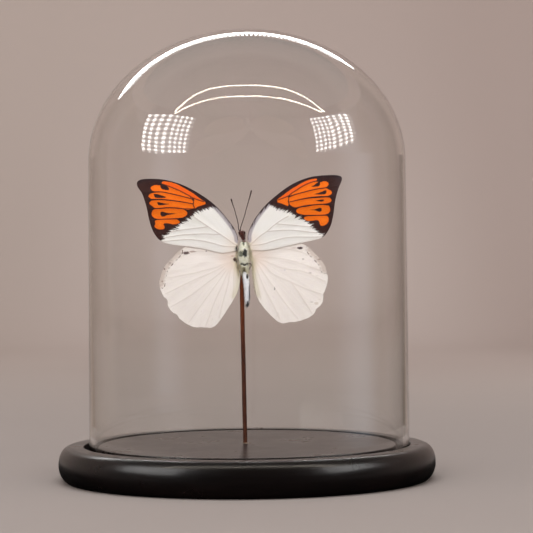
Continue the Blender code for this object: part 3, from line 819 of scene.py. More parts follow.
WOOD, CLEAR, STAIN, GLUE = dark_wood(), clear_glass(), stained_stick(), glue()
FORE_UP, HIND_UP = forewing_upper(), hindwing_upper()
FORE_UNDER = wing_underside("forewing_underside", (238, 234, 224), (196, 170, 130),
                            (120, 88, 60))
HIND_UNDER = wing_underside("hindwing_underside", (226, 212, 186), (190, 162, 122),
                            (112, 82, 58))
THORAX_SKIN = body_skin(
    "thorax_skin", [(*spot, (148 - 122 * m, 156 - 126 * m, 128 - 102 * m))
                    for *spot, m in BODY_MARKS]
    + [(-0.75, 103.2, 1.9, 0.9, (84, 36, 24)), (0.8, 102.8, 0.6, 0.7, (58, 32, 24))],
    (248, 247, 232), (222, 222, 190))
ABDOMEN_SKIN = body_skin(
    "abdomen_skin", [
        (-0.6, 90.0, 0.7, 0.9, (58, 68, 52)), (0.75, 87.4, 0.6, 1.2, (26, 28, 26)),
        (1.55, 80.0, 0.4, 5.0, (120, 120, 124)), (0.9, 75.0, 0.9, 1.9, (62, 64, 66))],
    (252, 252, 253), (232, 235, 240))
HEAD, EYE, FEELER = head_brown(), eye_shine(), feeler_brown()
THORAX_HAIR = hair_finish("thorax_hair", (252, 252, 240), (226, 218, 176), (32, 33, 28))
ROOT_HAIR = hair_finish("wing_root_hair", (253, 249, 230), (238, 224, 178), (36, 34, 28))
HEAD_HAIR = hair_finish("head_hair", (146, 62, 42), (100, 38, 26), (52, 18, 14))
ABDOMEN_HAIR = hair_finish("abdomen_hair", (250, 252, 255), (214, 218, 220), (70, 72, 74))


# ---------------------------------------------------------------- modelling helpers

def alone(thing):
    bpy.ops.object.select_all(action="DESELECT")
    thing.select_set(True)
    bpy.context.view_layer.objects.active = thing


def edit(thing):
    """Open a piece in edit mode with nothing of it selected."""
    alone(thing)
    bpy.ops.object.mode_set(mode="EDIT")
    bpy.ops.mesh.select_mode(type="VERT")
    bpy.ops.mesh.select_all(action="DESELECT")


def close_edit(outward=True):
    if outward:
        bpy.ops.mesh.select_all(action="SELECT")
        bpy.ops.mesh.normals_make_consistent(inside=False)
    bpy.ops.object.mode_set(mode="OBJECT")


def put(thing, name, slot, *replaced, angle=40.0, finishes=()):
    """Name a finished piece, shade it, and tie it to the frame."""
    thing.name = thing.data.name = name
    alone(thing)
    bpy.ops.object.transform_apply(location=True, rotation=True, scale=True)
    bpy.ops.object.shade_smooth_by_angle(angle=math.radians(angle))
    for material in finishes:
        thing.data.materials.append(material)
    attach(thing, "root")
    if replaced:
        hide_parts(*replaced)


def into_scene(name, data):
    thing = bpy.data.objects.new(name, data)
    bpy.context.scene.collection.objects.link(thing)
    return thing


def new_piece(name, verts, faces):
    """A new object in the scene with a mesh of these vertices, in metres, and faces."""
    mesh = bpy.data.meshes.new(name)
    mesh.from_pydata(verts, [], faces)
    return into_scene(name, mesh)


def keep(mesh, key, values, kind="FLOAT"):
    """Keep a value for every vertex on a mesh, where the finishes can read it."""
    kept = mesh.attributes.new(key, kind, "POINT").data
    kept.foreach_set("value" if kind == "FLOAT" else "vector",
                     np.asarray(values, np.float32).ravel())


def draw_out(before, after, extrude=bpy.ops.mesh.extrude_region_move):
    """Extrude the selection from one (x, y, z, half width, half depth) to the next."""
    extrude(TRANSFORM_OT_translate={
        "value": [(b - a) * MM for a, b in zip(before[:3], after[:3])]})
    bpy.ops.transform.resize(value=(after[3] / before[3], after[4] / before[4], 1),
                             center_override=[c * MM for c in after[:3]])


def grow(rings, sides, closed=True):
    """Raise a round piece ring by ring from (x, y, z, half width, half depth)."""
    bpy.ops.object.select_all(action="DESELECT")
    x, y, z, width, depth = rings[0]
    foot = (x * MM, y * MM, z * MM)
    bpy.ops.mesh.primitive_circle_add(
        vertices=sides, radius=MM, fill_type="NGON" if closed else "NOTHING", location=foot)
    bpy.ops.object.transform_apply(location=True)
    thing = bpy.context.object
    edit(thing)
    bpy.ops.mesh.select_all(action="SELECT")
    bpy.ops.transform.resize(value=(width, depth, 1), center_override=foot)
    for before, after in zip(rings, rings[1:]):
        draw_out(before, after)
    return thing


def pick(thing, test):
    """Select, in edit mode, the edges whose two ends pass a test of their places."""
    bpy.ops.mesh.select_mode(type="EDGE")
    bpy.ops.object.mode_set(mode="OBJECT")
    mesh = thing.data
    for item in (*mesh.vertices, *mesh.polygons):
        item.select = False
    for e in mesh.edges:
        ends = [mesh.vertices[i] for i in e.vertices]
        e.select = test(*(end.co / MM for end in ends))
        if e.select:
            ends[0].select = ends[1].select = True
    bpy.ops.object.mode_set(mode="EDIT")


def bevel(width, segments):
    bpy.ops.mesh.bevel(offset=width * MM, offset_type="OFFSET", segments=segments,
                       profile=0.5)


def tube(stations, sides=8, gap=0.4, wobble=0.0):
    """A closed round tube through (x, y, z, radius), as vertices and faces in mm."""
    line = spaced(smooth(stations, 8), gap)
    path, radii = line[:, :3], line[:, 3]
    ahead = np.gradient(path, axis=0)
    ahead /= np.linalg.norm(ahead, axis=1)[:, None]
    side = np.cross(ahead[0], (0.31, 0.83, 0.47))
    verts, faces = [], []
    turn = np.linspace(0, math.tau, sides, endpoint=False)
    for k, (point, way, radius) in enumerate(zip(path, ahead, radii)):
        side = side - way * (side @ way)
        side /= np.linalg.norm(side)
        up = np.cross(way, side)
        swell = radius * (1 + wobble * (k % 2))
        verts += [point + swell * (math.cos(a) * side + math.sin(a) * up) for a in turn]
    for first in range(0, (len(path) - 1) * sides, sides):
        for s in range(sides):
            t = (s + 1) % sides
            faces.append((first + s, first + t, first + sides + t, first + sides + s))
    faces.append(tuple(reversed(range(sides))))
    faces.append(tuple(range(len(verts) - sides, len(verts))))
    return verts, faces


def solid(name, parts):
    """One object from several (vertices, faces) lists in mm."""
    verts, faces = [], []
    for points, loops in parts:
        start = len(verts)
        verts += [tuple(Vector(p) * MM) for p in points]
        faces += [tuple(start + i for i in loop) for loop in loops]
    return new_piece(name, verts, faces)


# ---------------------------------------------------------------- base, dome, stick

def base_side():
    """The bulging side as (radius, z), from the underside to the flat top."""
    centre = BASE_RADIUS - RIM_ROUND
    reach = (BASE_FOOT_RADIUS - centre) / RIM_ROUND
    low_axis = BASE_WIDEST_Z / math.sqrt(1 - reach ** 2)
    high_axis = BASE_HEIGHT - BASE_WIDEST_Z
    side = [(BASE_FOOT_RADIUS - 0.5, 0.0)]
    for z in np.linspace(0.25, BASE_WIDEST_Z, 10):
        drop = (BASE_WIDEST_Z - z) / low_axis
        side.append((centre + RIM_ROUND * math.sqrt(1 - drop ** 2), z))
    for a in np.linspace(0.12, math.pi / 2, 18):
        rise = math.sin(a) ** (2 / RIM_POWER)
        side.append((centre + RIM_ROUND * math.cos(a) ** (2 / RIM_POWER),
                     BASE_WIDEST_Z + high_axis * rise))
    return side


def build_base():
    # The flat top goes in to the groove, down, across and up to the middle disc.
    top = BASE_HEIGHT
    profile = base_side() + [
        (GROOVE_OUTER + GROOVE_LIP, top), (GROOVE_OUTER, top),
        (GROOVE_OUTER, GROOVE_FLOOR_Z), (GROOVE_INNER, GROOVE_FLOOR_Z),
        (GROOVE_INNER, top), (GROOVE_INNER - GROOVE_LIP, top), (GROOVE_INNER - 3, top)]
    base = grow([(0, 0, z, r, r) for r, z in profile], BASE_SIDES)

    def on_lip(p):
        return abs(p.z - top) < 0.01 and min(
            abs(p.xy.length - GROOVE_OUTER), abs(p.xy.length - GROOVE_INNER)) < 0.05

    # A soft turned edge on each side of the groove.
    pick(base, lambda a, b: on_lip(a) and on_lip(b))
    bevel(GROOVE_SOFTNESS, 3)
    close_edit()
    put(base, "turned_base", "dark_wood", "base", angle=30.0, finishes=[WOOD])


def build_dome():
    walls = np.concatenate([[DOME_FOOT_Z, DOME_FOOT_Z + 1.1],
                            np.linspace(DOME_FOOT_Z + 4, SHOULDER_Z, 14)])
    rings = [(DOME_X, 0, z, r, r) for z, r in zip(walls, np.interp(
        walls, (DOME_FOOT_Z, SHOULDER_Z), (DOME_RADIUS, SHOULDER_RADIUS)))]
    for a in np.linspace(0, math.pi / 2, 61)[1:-1]:
        r = SHOULDER_RADIUS * math.cos(a)
        z = SHOULDER_Z + (DOME_TOP_Z - SHOULDER_Z) * math.sin(a)
        rings.append((DOME_X, 0, z, r, r))
    rings.append((DOME_X, 0, DOME_TOP_Z, 0.35, 0.35))
    dome = grow(rings, DOME_SIDES, closed=False)
    bpy.ops.mesh.edge_face_add()
    close_edit()
    # The blown wall thins towards the crown.
    weights = dome.vertex_groups.new(name="wall")
    for v in dome.data.vertices:
        rise = max(v.co.z / MM - DOME_FOOT_Z, 0.0)
        weights.add([v.index], CROWN_WALL + (1 - CROWN_WALL) * math.exp(
            -(rise / WALL_FALL) ** 2), "REPLACE")
    wall = dome.modifiers.new("wall", "SOLIDIFY")
    wall.thickness = GLASS * MM
    wall.vertex_group = "wall"
    wall.offset = -1.0
    wall.use_even_offset = True
    bpy.ops.object.modifier_apply(modifier="wall")
    # The foot is melted soft.
    edit(dome)
    pick(dome, lambda a, b: max(a.z, b.z) < DOME_FOOT_Z + 0.3)
    bevel(GLASS_LIP, 4)
    close_edit(outward=False)
    dome.vertex_groups.clear()
    put(dome, "glass_dome", "clear_glass", "dome", angle=50.0, finishes=[CLEAR])


def build_stick():
    lean = (STICK_TIP - STICK_FOOT).normalized()
    length = (STICK_TIP - STICK_FOOT).length
    rings = []
    for k, s in enumerate(np.linspace(0, length, 44)):
        r = np.interp(length - s, (0, STICK_POINT), (STICK_TIP_RADIUS, STICK_RADIUS))
        r *= 1 + 0.02 * math.sin(k * 1.7) + 0.01 * math.sin(k * 0.61 + 1)
        p = STICK_FOOT + lean * s
        rings.append((p.x + 0.015 * math.sin(k * 0.4), p.y, p.z, r, r * 0.97))
    stick = grow(rings, 28)
    close_edit()
    put(stick, "pointed_stick", "stained_stick", "stick", angle=50.0, finishes=[STAIN])
    # A little dried glue where it enters the base.
    foot = STICK_FOOT + lean * (BASE_HEIGHT - STICK_FOOT.z)
    for name, x, y, w, d, h in (("glue_ring", 0.0, 0.0, 1.35, 1.3, 0.22),
                                ("glue_fleck", 1.75, -0.5, 0.75, 0.5, 0.16)):
        at = (foot.x + x, foot.y + y)
        bead = grow([(*at, BASE_HEIGHT + up, w * share, d * share) for up, share in (
            (-0.05, 1.0), (h * 0.5, 0.93), (h * 0.9, 0.8), (h, 0.55))], 24)
        close_edit()
        for v in bead.data.vertices:
            swell = 1 + 0.12 * math.sin(5 * math.atan2(v.co.y, v.co.x) + 40 * v.co.x / MM)
            centre = Vector((at[0] * MM, at[1] * MM, v.co.z))
            v.co = centre + (v.co - centre) * swell
        put(bead, name, "stained_stick", angle=60.0, finishes=[GLUE])


# ---------------------------------------------------------------- wings

def lengths_of(vectors):
    return np.linalg.norm(vectors, axis=1)


def hump(distance, width):
    """1 at a line, falling to 0 a few widths away from it."""
    return np.exp(-(distance / width) ** 2)


def wing_net(edge, veins, luck):
    """The flat net of a wing: its rim, a strip along each vein and an even filling."""
    low, high = edge.min(0), edge.max(0)
    xs = np.arange(low[0], high[0], WING_PITCH)
    zs = np.arange(low[1], high[1], WING_PITCH * WING_ROWS)
    grid = np.array([(x + WING_PITCH / 2 * (k % 2), z)
                     for k, z in enumerate(zs) for x in xs])
    grid += luck.uniform(-0.05, 0.05, grid.shape)
    rows = []
    for vein in veins:
        side = np.gradient(vein, axis=0)[:, ::-1] * (1, -1)
        side /= np.maximum(lengths_of(side), 1e-9)[:, None]
        rows += [vein - side * VEIN_HALF, vein, vein + side * VEIN_HALF]
    rows = np.vstack(rows)
    rows = rows[depth_in(rows, edge) > 0.2]
    grid = grid[depth_in(grid, edge) > 0.22]
    grid = grid[np.min([to_line(grid, vein) for vein in veins], axis=0) > 2 * VEIN_HALF]
    count = len(edge)
    flat, _, triangles, *_ = geometry.delaunay_2d_cdt(
        [Vector(p) for p in np.vstack([edge, rows, grid])],
        [(k, (k + 1) % count) for k in range(count)], [], 1, 1e-4)
    return (np.array([tuple(p) for p in flat]),
            [tuple(int(i) for i in t) for t in triangles if len(t) == 3])


def build_wing(name, slot, node, outline, hub, front_y, root_x, lean, ribs, marks,
               upper, under, dish, waves, lead_count, seed, fray=0.0, relief=1.0):
    """A spread wing: thin, veined and cambered, with its markings kept on its mesh.

    outline is (x, z) in mm, hub is where its veins meet, ribs are raised, marks gives
    values by name from (x, z) points, and the first lead_count corners are its leading
    edge."""
    luck = np.random.default_rng(seed)
    edge = smooth(outline, 10)
    lead = smooth(outline[:lead_count], 10)
    edge = spaced(np.vstack([edge, edge[:1]]), WING_EDGE_GAP)[:-1]
    if fray:
        out = edge - np.array(hub)
        far = np.clip((lengths_of(out) - 14) / 8, 0, 1)
        slip = np.convolve(luck.normal(0, 1, len(edge) + 2), (0.3, 0.4, 0.3), "valid")
        edge = edge - out / lengths_of(out)[:, None] * (
            fray * far * np.clip(slip, -0.4, 2.5))[:, None]
    veins = [spaced(smooth(line), 0.3) for line in ribs]
    flat, triangles = wing_net(edge, veins, luck)

    out = flat - np.array(hub)
    radius = lengths_of(out)
    angle = np.unwrap(np.arctan2(out[:, 1], np.abs(out[:, 0])))
    to_rib = np.min([to_line(flat, vein) for vein in veins], axis=0)
    to_lead = to_line(flat, lead)
    rim = to_line(flat, np.vstack([edge, edge[:1]]))
    far = np.clip(radius / 35, 0, 1)
    ridge = hump(to_rib, RIB_WIDTH)
    # The leading edge is a stout vein that thins towards the wing tip.
    stout = LEAD_RISE * hump(to_lead, LEAD_WIDTH) * np.clip(1.2 - far, 0.3, 1)
    rise = math.tan(lean) * np.abs(flat[:, 0] - root_x) + stout
    rise += dish(flat, radius, to_lead)
    rise += relief * RIB_RISE * ridge * np.clip(rim / 1.2, 0.25, 1)
    rise -= relief * DIP_DEPTH * (1 - hump(to_rib, DIP_WIDTH)) * np.clip(radius / 8, 0, 1)
    for size, pace, start in waves:
        rise += size * far ** 1.5 * np.sin(angle * pace + start + radius * 0.05)
    thick = WING_THICKNESS + ROOT_THICKNESS * np.exp(-radius / 7) + 0.08 * ridge + stout

    n = len(flat)
    front = np.stack([flat[:, 0], front_y - rise, flat[:, 1]], 1)
    back = front + thick[:, None] * (0, 1, 0)
    sides = dict.fromkeys(pair for a, b, c in triangles
                          for pair in ((a, b), (b, c), (c, a)))
    rim_faces = [(b, a, a + n, b + n) for a, b in sides if (b, a) not in sides]
    back_faces = [(c + n, b + n, a + n) for a, b, c in triangles]
    thing = new_piece(name, (np.vstack([front, back]) * MM).tolist(),
                      triangles + back_faces + rim_faces)
    mesh = thing.data
    mesh.validate()
    # The back takes the underside's finish.
    mesh.polygons.foreach_set("material_index", np.repeat(
        (0, 1, 0), (len(triangles), len(back_faces), len(rim_faces))).astype(np.int32))
    fan = np.stack([angle * 26, radius, np.zeros(n)], 1)
    keep(mesh, "fan", np.vstack([fan, fan + (0, 0, 40)]), "FLOAT_VECTOR")
    values = {"rib": to_rib, "leading": to_lead, "rim": rim, "reach": radius}
    values.update({key: work(flat) for key, work in marks.items()})
    for key, value in values.items():
        keep(mesh, key, np.tile(value, 2))
    put(thing, name, slot, node, angle=60.0, finishes=[upper, under])


def forewing_dish(side):
    def dish(flat, radius, to_lead):
        """Gently arched from front to rear, its rear edge lying on the hindwing."""
        span = np.clip(radius / 30, 0, 1)
        arch = 0.9 * np.sin(np.clip(to_lead / 16, 0, 1) * math.pi) * span
        rear = np.clip((106 - flat[:, 1]) / 7, 0, 1)
        near = np.clip(1 - (np.abs(flat[:, 0]) - 4) / 30, 0, 1)
        return arch - 0.25 * rear * near + 0.6 * span ** 3 * side
    return dish


def hindwing_dish(inner_x, tilt):
    def dish(flat, radius, to_lead):
        """A shallow bowl, with the inner edge turned back along the body."""
        back = np.clip(to_lead / 9, 0, 1) ** 1.5
        bowl = 0.8 * np.sin(np.clip(radius / 34, 0, 1) * math.pi) * back
        bowl += tilt * (radius / 34) ** 2 * np.clip(to_lead / 14, 0, 1)
        fold = np.clip(1 - np.abs(flat[:, 0] - inner_x) / 3.5, 0, 1)
        low = np.clip((97 - flat[:, 1]) / 5, 0, 1)
        return bowl - 0.9 * fold ** 2 * low - 0.15 * (1 - back)
    return dish


def build_forewing(side, outline, rear, hub, ribs, veins, dark, strip, orange, drops,
                   lead_count, seed, lift):
    black = smooth(dark, 4, closed=True)
    marks = {
        "dark": lambda p: depth_in(p, black),
        "leafy": lambda p: depth_in(p, black),
        "strip": lambda p: depth_in_any(p, [strip]),
        "island": lambda p: depth_in_any(p, [*orange, strip]),
        "drop": lambda p: depth_in_any(p, drops),
        "vein": lambda p: to_lines(p, veins),
        "rear": lambda p: to_line(p, smooth(outline[rear:]))}
    build_wing(f"forewing_of_the_{side}", "forewing_scales", f"{side}_forewing", outline,
               hub, -1.2, *WING_ROOTS[side], ribs + veins, marks, FORE_UP, FORE_UNDER,
               forewing_dish(lift), [(0.07, 23.0, 0.3), (0.05, 41.0, 1.1)], lead_count,
               seed)


def build_hindwing(side, outline, hub, ribs, worn, inner, seed, tilt):
    marks = {
        "worn": lambda p: to_line(p, smooth(worn)),
        "inner": lambda p: to_line(p, smooth(inner)),
        "vein": lambda p: np.full(len(p), 9.0),
        "leafy": lambda p: np.full(len(p), 2.5)}
    build_wing(f"hindwing_of_the_{side}", "hindwing_scales", f"{side}_hindwing", outline,
               hub, 0.0, *WING_ROOTS[side], ribs, marks, HIND_UP, HIND_UNDER,
               hindwing_dish(inner[2][0], tilt),
               [(0.13, 11.0, 0.8), (0.07, 19.0, 2.0), (0.04, 37.0, 0.4)], 5, seed,
               fray=0.13, relief=0.4)


def build_wings():
    build_forewing("left", LEFT_FOREWING, 14, (-3.4, 101.0), LEFT_RIBS, LEFT_VEINS,
                   LEFT_DARK, LEFT_STRIP, LEFT_ORANGE, LEFT_DROPS, 9, 11, 1.0)
    build_forewing("right", RIGHT_FOREWING, 15, (1.8, 101.2), RIGHT_RIBS, RIGHT_VEINS,
                   RIGHT_DARK, RIGHT_STRIP, RIGHT_ORANGE, RIGHT_DROPS, 10, 12, 0.4)
    build_hindwing("left", LEFT_HINDWING, (-4.6, 95.6), LEFT_CREASES,
                   [(-29.5, 98.6), (-31.9, 96.0), (-35.4, 91.9), (-36.9, 87.5),
                    (-37.2, 84.5)], LEFT_HINDWING[-5:], 13, 0.3)
    build_hindwing("right", RIGHT_HINDWING, (3.2, 96.6), RIGHT_CREASES,
                   [(28.6, 99.0), (30.2, 97.2), (33.7, 93.2), (34.6, 90.6)],
                   RIGHT_HINDWING[-4:], 14, 0.8)


# ---------------------------------------------------------------- body

def between(rings, steps):
    """The rings of a body part, smoothed to several times as many."""
    return [tuple(r) for r in smooth(rings, steps)]


def build_body():
    # The abdomen has a shallow groove between its segments.
    rings = []
    for x, y, z, w, d in between(ABDOMEN_RINGS, 7):
        pinch = 1 - 0.10 * max(0.0, math.cos((z - 74.4) / SEGMENT * math.pi)) ** 8
        rings.append((x, y, z, max(w, 0.12) * pinch, max(d, 0.15) * pinch))
    for name, slot, node, rings, sides, skin in (
            ("abdomen_segments", "body_hair", "abdomen", rings, 40, ABDOMEN_SKIN),
            ("thorax_shell", "body_hair", "thorax", between(THORAX_RINGS, 5), 40,
             THORAX_SKIN),
            ("head_capsule", "head_cuticle", "head", between(HEAD_RINGS, 5), 32, HEAD)):
        part = grow(rings, sides)
        close_edit()
        put(part, name, slot, node, angle=70.0, finishes=[skin])
    for side, x, y in (("left", -2.45, -0.25), ("right", -0.45, -0.2)):
        eye = grow([(x, y, EYE_Z + 0.74 * math.sin(a), 0.56 * math.cos(a),
                     0.78 * math.cos(a)) for a in np.linspace(-1.45, 1.45, 15)], 28)
        close_edit()
        put(eye, f"eye_of_the_{side}", "head_cuticle", angle=80.0, finishes=[EYE])
    palps = solid("palps", [
        tube([(x, -0.9, 105.6, 0.22), (x + out, -1.4, 106.4, 0.3),
              (x + out / 2, -1.5, bend_z, 0.2), (x, -1.3, bend_z + 0.6, 0.06)], 10, 0.12)
        for x, out, bend_z in ((-1.9, -0.1, 107.3), (-1.1, 0.1, 107.2))])
    put(palps, "palps", "head_cuticle", angle=60.0, finishes=[HEAD])
    coil = []
    for k in range(40):
        a = 0.42 * k
        r = 0.85 - 0.018 * k
        coil.append((-1.45 + 0.004 * k, 0.75 + r * math.cos(a), 104.9 + r * math.sin(a),
                     0.10 - 0.0015 * k))
    tongue = solid("coiled_tongue", [tube(coil, 8, 0.1)])
    put(tongue, "coiled_tongue", "head_cuticle", angle=60.0, finishes=[FEELER])


def build_feelers():
    for side, line in (("left", LEFT_ANTENNA), ("right", RIGHT_ANTENNA)):
        name = f"feeler_of_the_{side}"
        stations = [(x, y, z, ANTENNA_RADIUS * f) for x, y, z, f in line]
        feeler = solid(name, [tube(stations, 12, 0.13, wobble=0.10)])
        put(feeler, name, "feeler_cuticle", f"{side}_antenna", angle=80.0,
            finishes=[FEELER])


def build_legs():
    """Six thin legs folded back behind the thorax, out of the viewer's sight."""
    parts = []
    for side, knee_z, foot_z, root_z, spread in (
            (-1, 100.5, 94.6, 99.6, 1.0), (1, 100.8, 95.2, 99.8, 1.0),
            (-1, 97.2, 90.2, 96.8, 1.35), (1, 97.0, 89.6, 96.6, 1.3),
            (-1, 92.4, 85.8, 94.2, 1.5), (1, 92.8, 86.4, 94.0, 1.45)):
        parts.append(tube([
            (LEG_X + side * out, y, z, radius) for out, y, z, radius in (
                (0.8, 2.4, root_z, 0.3), (1.9 * spread, 4.0, knee_z, 0.24),
                (2.1 * spread, 4.3, knee_z - 0.5, 0.2),
                (1.2 * spread, 4.9, (knee_z + foot_z) / 2, 0.16),
                (0.8 * spread, 5.0, foot_z, 0.11), (0.9 * spread, 5.3, foot_z - 1.6, 0.08),
                (1.3 * spread, 5.5, foot_z - 2.2, 0.05))], 8, 0.2))
    put(solid("folded_legs", parts), "folded_legs", "head_cuticle", angle=60.0,
        finishes=[FEELER])


# ---------------------------------------------------------------- hair

def strands(name, slot, roots, ways, lengths, widths, tones, material, droop=0.3,
            sway=0.25):
    """Tapered hairs in one mesh: each bends from its way towards the ground."""
    n = len(roots)
    ways = ways / lengths_of(ways)[:, None]
    across = np.cross(ways, rng.normal(size=(n, 3)))
    across /= lengths_of(across)[:, None]
    over = np.cross(ways, across)
    curl = across * rng.normal(0, sway, (n, 1)) + np.array((0, 0, -1)) * droop
    rows, fractions = [], (0.0, 0.33, 0.68, 1.0)
    for f in fractions[:-1]:
        centre = roots + (ways * f + curl * f * f) * lengths[:, None]
        girth = (widths * (1 - 0.55 * f))[:, None]
        for a in (0, math.tau / 3, 2 * math.tau / 3):
            rows.append(centre + girth * (math.cos(a) * across + math.sin(a) * over))
    rows.append(roots + (ways + curl) * lengths[:, None])
    verts = np.stack(rows, 1).reshape(-1, 3) * MM
    pattern = [(2, 1, 0)]
    for k in (0, 3):
        for s in range(3):
            t = (s + 1) % 3
            pattern.append((k + s, k + t, k + 3 + t, k + 3 + s))
    pattern += [(6 + s, 6 + (s + 1) % 3, 9) for s in range(3)]
    hair = new_piece(name, verts.tolist(), [
        tuple(len(rows) * i + v for v in face) for i in range(n) for face in pattern])
    keep(hair.data, "tone", np.repeat(tones, len(rows)))
    keep(hair.data, "along", np.tile(np.repeat(fractions, (3, 3, 3, 1)), n))
    put(hair, name, slot, angle=180.0, finishes=[material])


def on_rings(rings, count, low, high):
    """Random places on a body part, with the way each one faces."""
    table = np.array(between(rings, 5))
    z = rng.uniform(low, high, count)
    x, y, w, d = (np.interp(z, table[:, 2], table[:, k]) for k in (0, 1, 3, 4))
    turn = rng.uniform(0, math.tau, count)
    roots = np.stack([x + w * 0.96 * np.cos(turn), y + d * 0.96 * np.sin(turn), z], 1)
    facing = np.stack([np.cos(turn) / np.maximum(w, 0.3), np.sin(turn) / np.maximum(d, 0.3),
                       np.zeros(count)], 1)
    return roots, facing / lengths_of(facing)[:, None]


def in_marks(points, *others):
    """How dark the marks of the back are at each place, or another value if larger."""
    front = np.clip(0.6 - points[:, 1], 0, 1)
    found = []
    for x, z, width, tall, darkness in BODY_MARKS:
        gap = np.hypot((points[:, 0] - x) / width, (points[:, 2] - z) / tall)
        found.append(darkness * (np.clip(1.4 - gap, 0, 1) * front))
    return np.maximum.reduce([*found, *others])


# Soft fringes: the (x, z) line they grow on, its y, its width, how many hairs, and
# which way they point.
FRINGES = [
    ([(-2.6, 93.6), (-2.3, 92.0), (-1.8, 90.6), (-1.3, 89.6)], -0.6, 0.4, 210,
     (-0.15, -0.1, -1.6)),
    ([(2.0, 99.4), (2.2, 97.0), (2.7, 93.0), (3.0, 89.0), (3.6, 84.5), (4.4, 80.0)],
     -0.2, 0.35, 420, (0.35, -0.12, -1.0)),
    ([(-3.5, 99.0), (-3.9, 96.0), (-3.6, 92.0), (-2.8, 88.0)], -0.2, 0.3, 210,
     (-0.1, -0.12, -1.0)),
    ([(-1.4, 92.0), (-0.4, 91.0), (0.6, 90.2), (1.2, 89.6)], -1.7, 0.3, 110,
     (0.1, -0.15, -1.3)),
    ([(-3.2, 102.4), (-3.6, 100.5), (-3.4, 98.6)], -1.3, 0.25, 60, (-0.5, -0.1, -0.5)),
    ([(1.3, 102.4), (1.8, 100.8), (2.0, 98.8)], -1.3, 0.25, 60, (0.5, -0.1, -0.5))]


def build_hair():
    # Thorax: pale green-white, combed down and outwards, shorter on the dark marks.
    roots, facing = on_rings(THORAX_RINGS, 1500, 88.6, 103.0)
    dark = in_marks(roots)
    n = len(roots)
    down = np.array((0, 0, -1.0))
    ways = facing * 0.65 + down * 0.8 + rng.normal(0, 0.26, (n, 3))
    lengths = rng.uniform(0.6, 1.6, n) * (1 - 0.6 * dark)
    collar = np.clip((roots[:, 2] - 101.8) / 1.0, 0, 1)
    side = np.clip((roots[:, 0] - 0.6) / 1.2, 0, 1)
    tones = np.clip(rng.beta(1.2, 3.2, n) * 0.55 + 0.25 * side + 1.2 * dark
                    + 0.8 * collar * rng.uniform(0, 1, n), 0, 1)
    strands("thorax_hair", "body_hair", roots, ways, lengths, rng.uniform(0.02, 0.045, n),
            tones, THORAX_HAIR)

    # Collar and head: short red-brown bristles.
    roots, facing = on_rings(HEAD_RINGS, 700, 103.4, 107.2)
    n = len(roots)
    ways = facing * 0.8 + rng.normal(0, 0.35, (n, 3)) + np.array((0, 0, 0.35))
    strands("head_bristles", "head_cuticle", roots, ways, rng.uniform(0.3, 0.8, n),
            rng.uniform(0.025, 0.045, n), rng.uniform(0, 1, n), HEAD_HAIR, droop=0.0)

    # Abdomen: short close scales and hairs pointing to its tip.
    roots, facing = on_rings(ABDOMEN_RINGS, 700, 74.2, 89.6)
    n = len(roots)
    ways = facing * 0.32 + down + rng.normal(0, 0.16, (n, 3))
    tip = np.clip((77.0 - roots[:, 2]) / 2.0, 0, 1)
    right = np.clip((roots[:, 0] - 0.9) / 0.5, 0, 1)
    dark = in_marks(roots, tip * 0.9, right * 0.6)
    tones = np.clip(rng.beta(1.1, 3.5, n) * 0.5 + dark, 0, 1)
    strands("abdomen_hair", "body_hair", roots, ways, rng.uniform(0.45, 1.0, n),
            rng.uniform(0.03, 0.05, n), tones, ABDOMEN_HAIR, droop=0.1, sway=0.1)

    # Wing roots and the inner edges of the hindwings: soft yellow-green fringes.
    roots, ways, lengths = [], [], []
    for line, y, wide, count, way in FRINGES:
        path = smooth(line, 10)
        spots = path[rng.integers(0, len(path), count)]
        roots.append(np.stack([spots[:, 0] + rng.normal(0, wide, count) * 0.8,
                               y + rng.normal(0, 0.35, count),
                               spots[:, 1] + rng.normal(0, 0.3, count)], 1))
        ways.append(np.array(way) + rng.normal(0, 0.25, (count, 3)))
        lengths.append(rng.uniform(0.8, 2.4, count))
    roots, ways, lengths = np.vstack(roots), np.vstack(ways), np.concatenate(lengths)
    n = len(roots)
    dark = in_marks(roots)
    strands("wing_root_hair", "body_hair", roots, ways, lengths,
            rng.uniform(0.02, 0.04, n), np.clip(rng.beta(2, 3, n) * 0.5 + dark, 0, 1),
            ROOT_HAIR, droop=0.15)


# ---------------------------------------------------------------- studio

CAMERA_AT = (0.0091, -0.851, 0.092)
CAMERA_ROLL = math.radians(0.5)
SENSOR = 36.0
FOCAL_WIDTHS = 1957.0 / 533.0  # the focal length in widths of the view

WHITE = (1.0, 0.99, 0.98, 1.0)
SIDE_CENTRE = Vector((0.0, -0.057, 0.14))
SIDE_PANELS = {
    "lamp_left": ((-0.837, -0.032, 0.547), (-0.659, -0.369, 0.576),
                  (-0.541, -0.594, 0.596), (-0.679, -0.733, 0.048),
                  (-0.8, -0.506, 0.057), (-0.981, -0.166, 0.105)),
    "lamp_right": ((0.669, -0.492, 0.557), (0.743, -0.278, 0.541),
                   (0.855, 0.042, 0.517), (0.977, -0.05, 0.209),
                   (0.86, -0.393, 0.105), (0.782, -0.621, 0.054))}
BACK_STRIP = ((-0.65, 0.69, 0.60), (-0.125, 0.815, 0.69), (0.40, 0.89, 0.635),
              (0.385, 0.85, 0.69), (-0.12, 0.775, 0.73), (-0.62, 0.66, 0.65))
BACK_DOTS = ((-0.62, 0.66, 0.652), (-0.12, 0.775, 0.732), (0.385, 0.85, 0.692),
             (0.37, 0.82, 0.765), (-0.115, 0.745, 0.815), (-0.60, 0.64, 0.715))
CROWN = Vector((0.002, -0.060, 0.157))
TUBE_HALF_WIDTH = 0.007
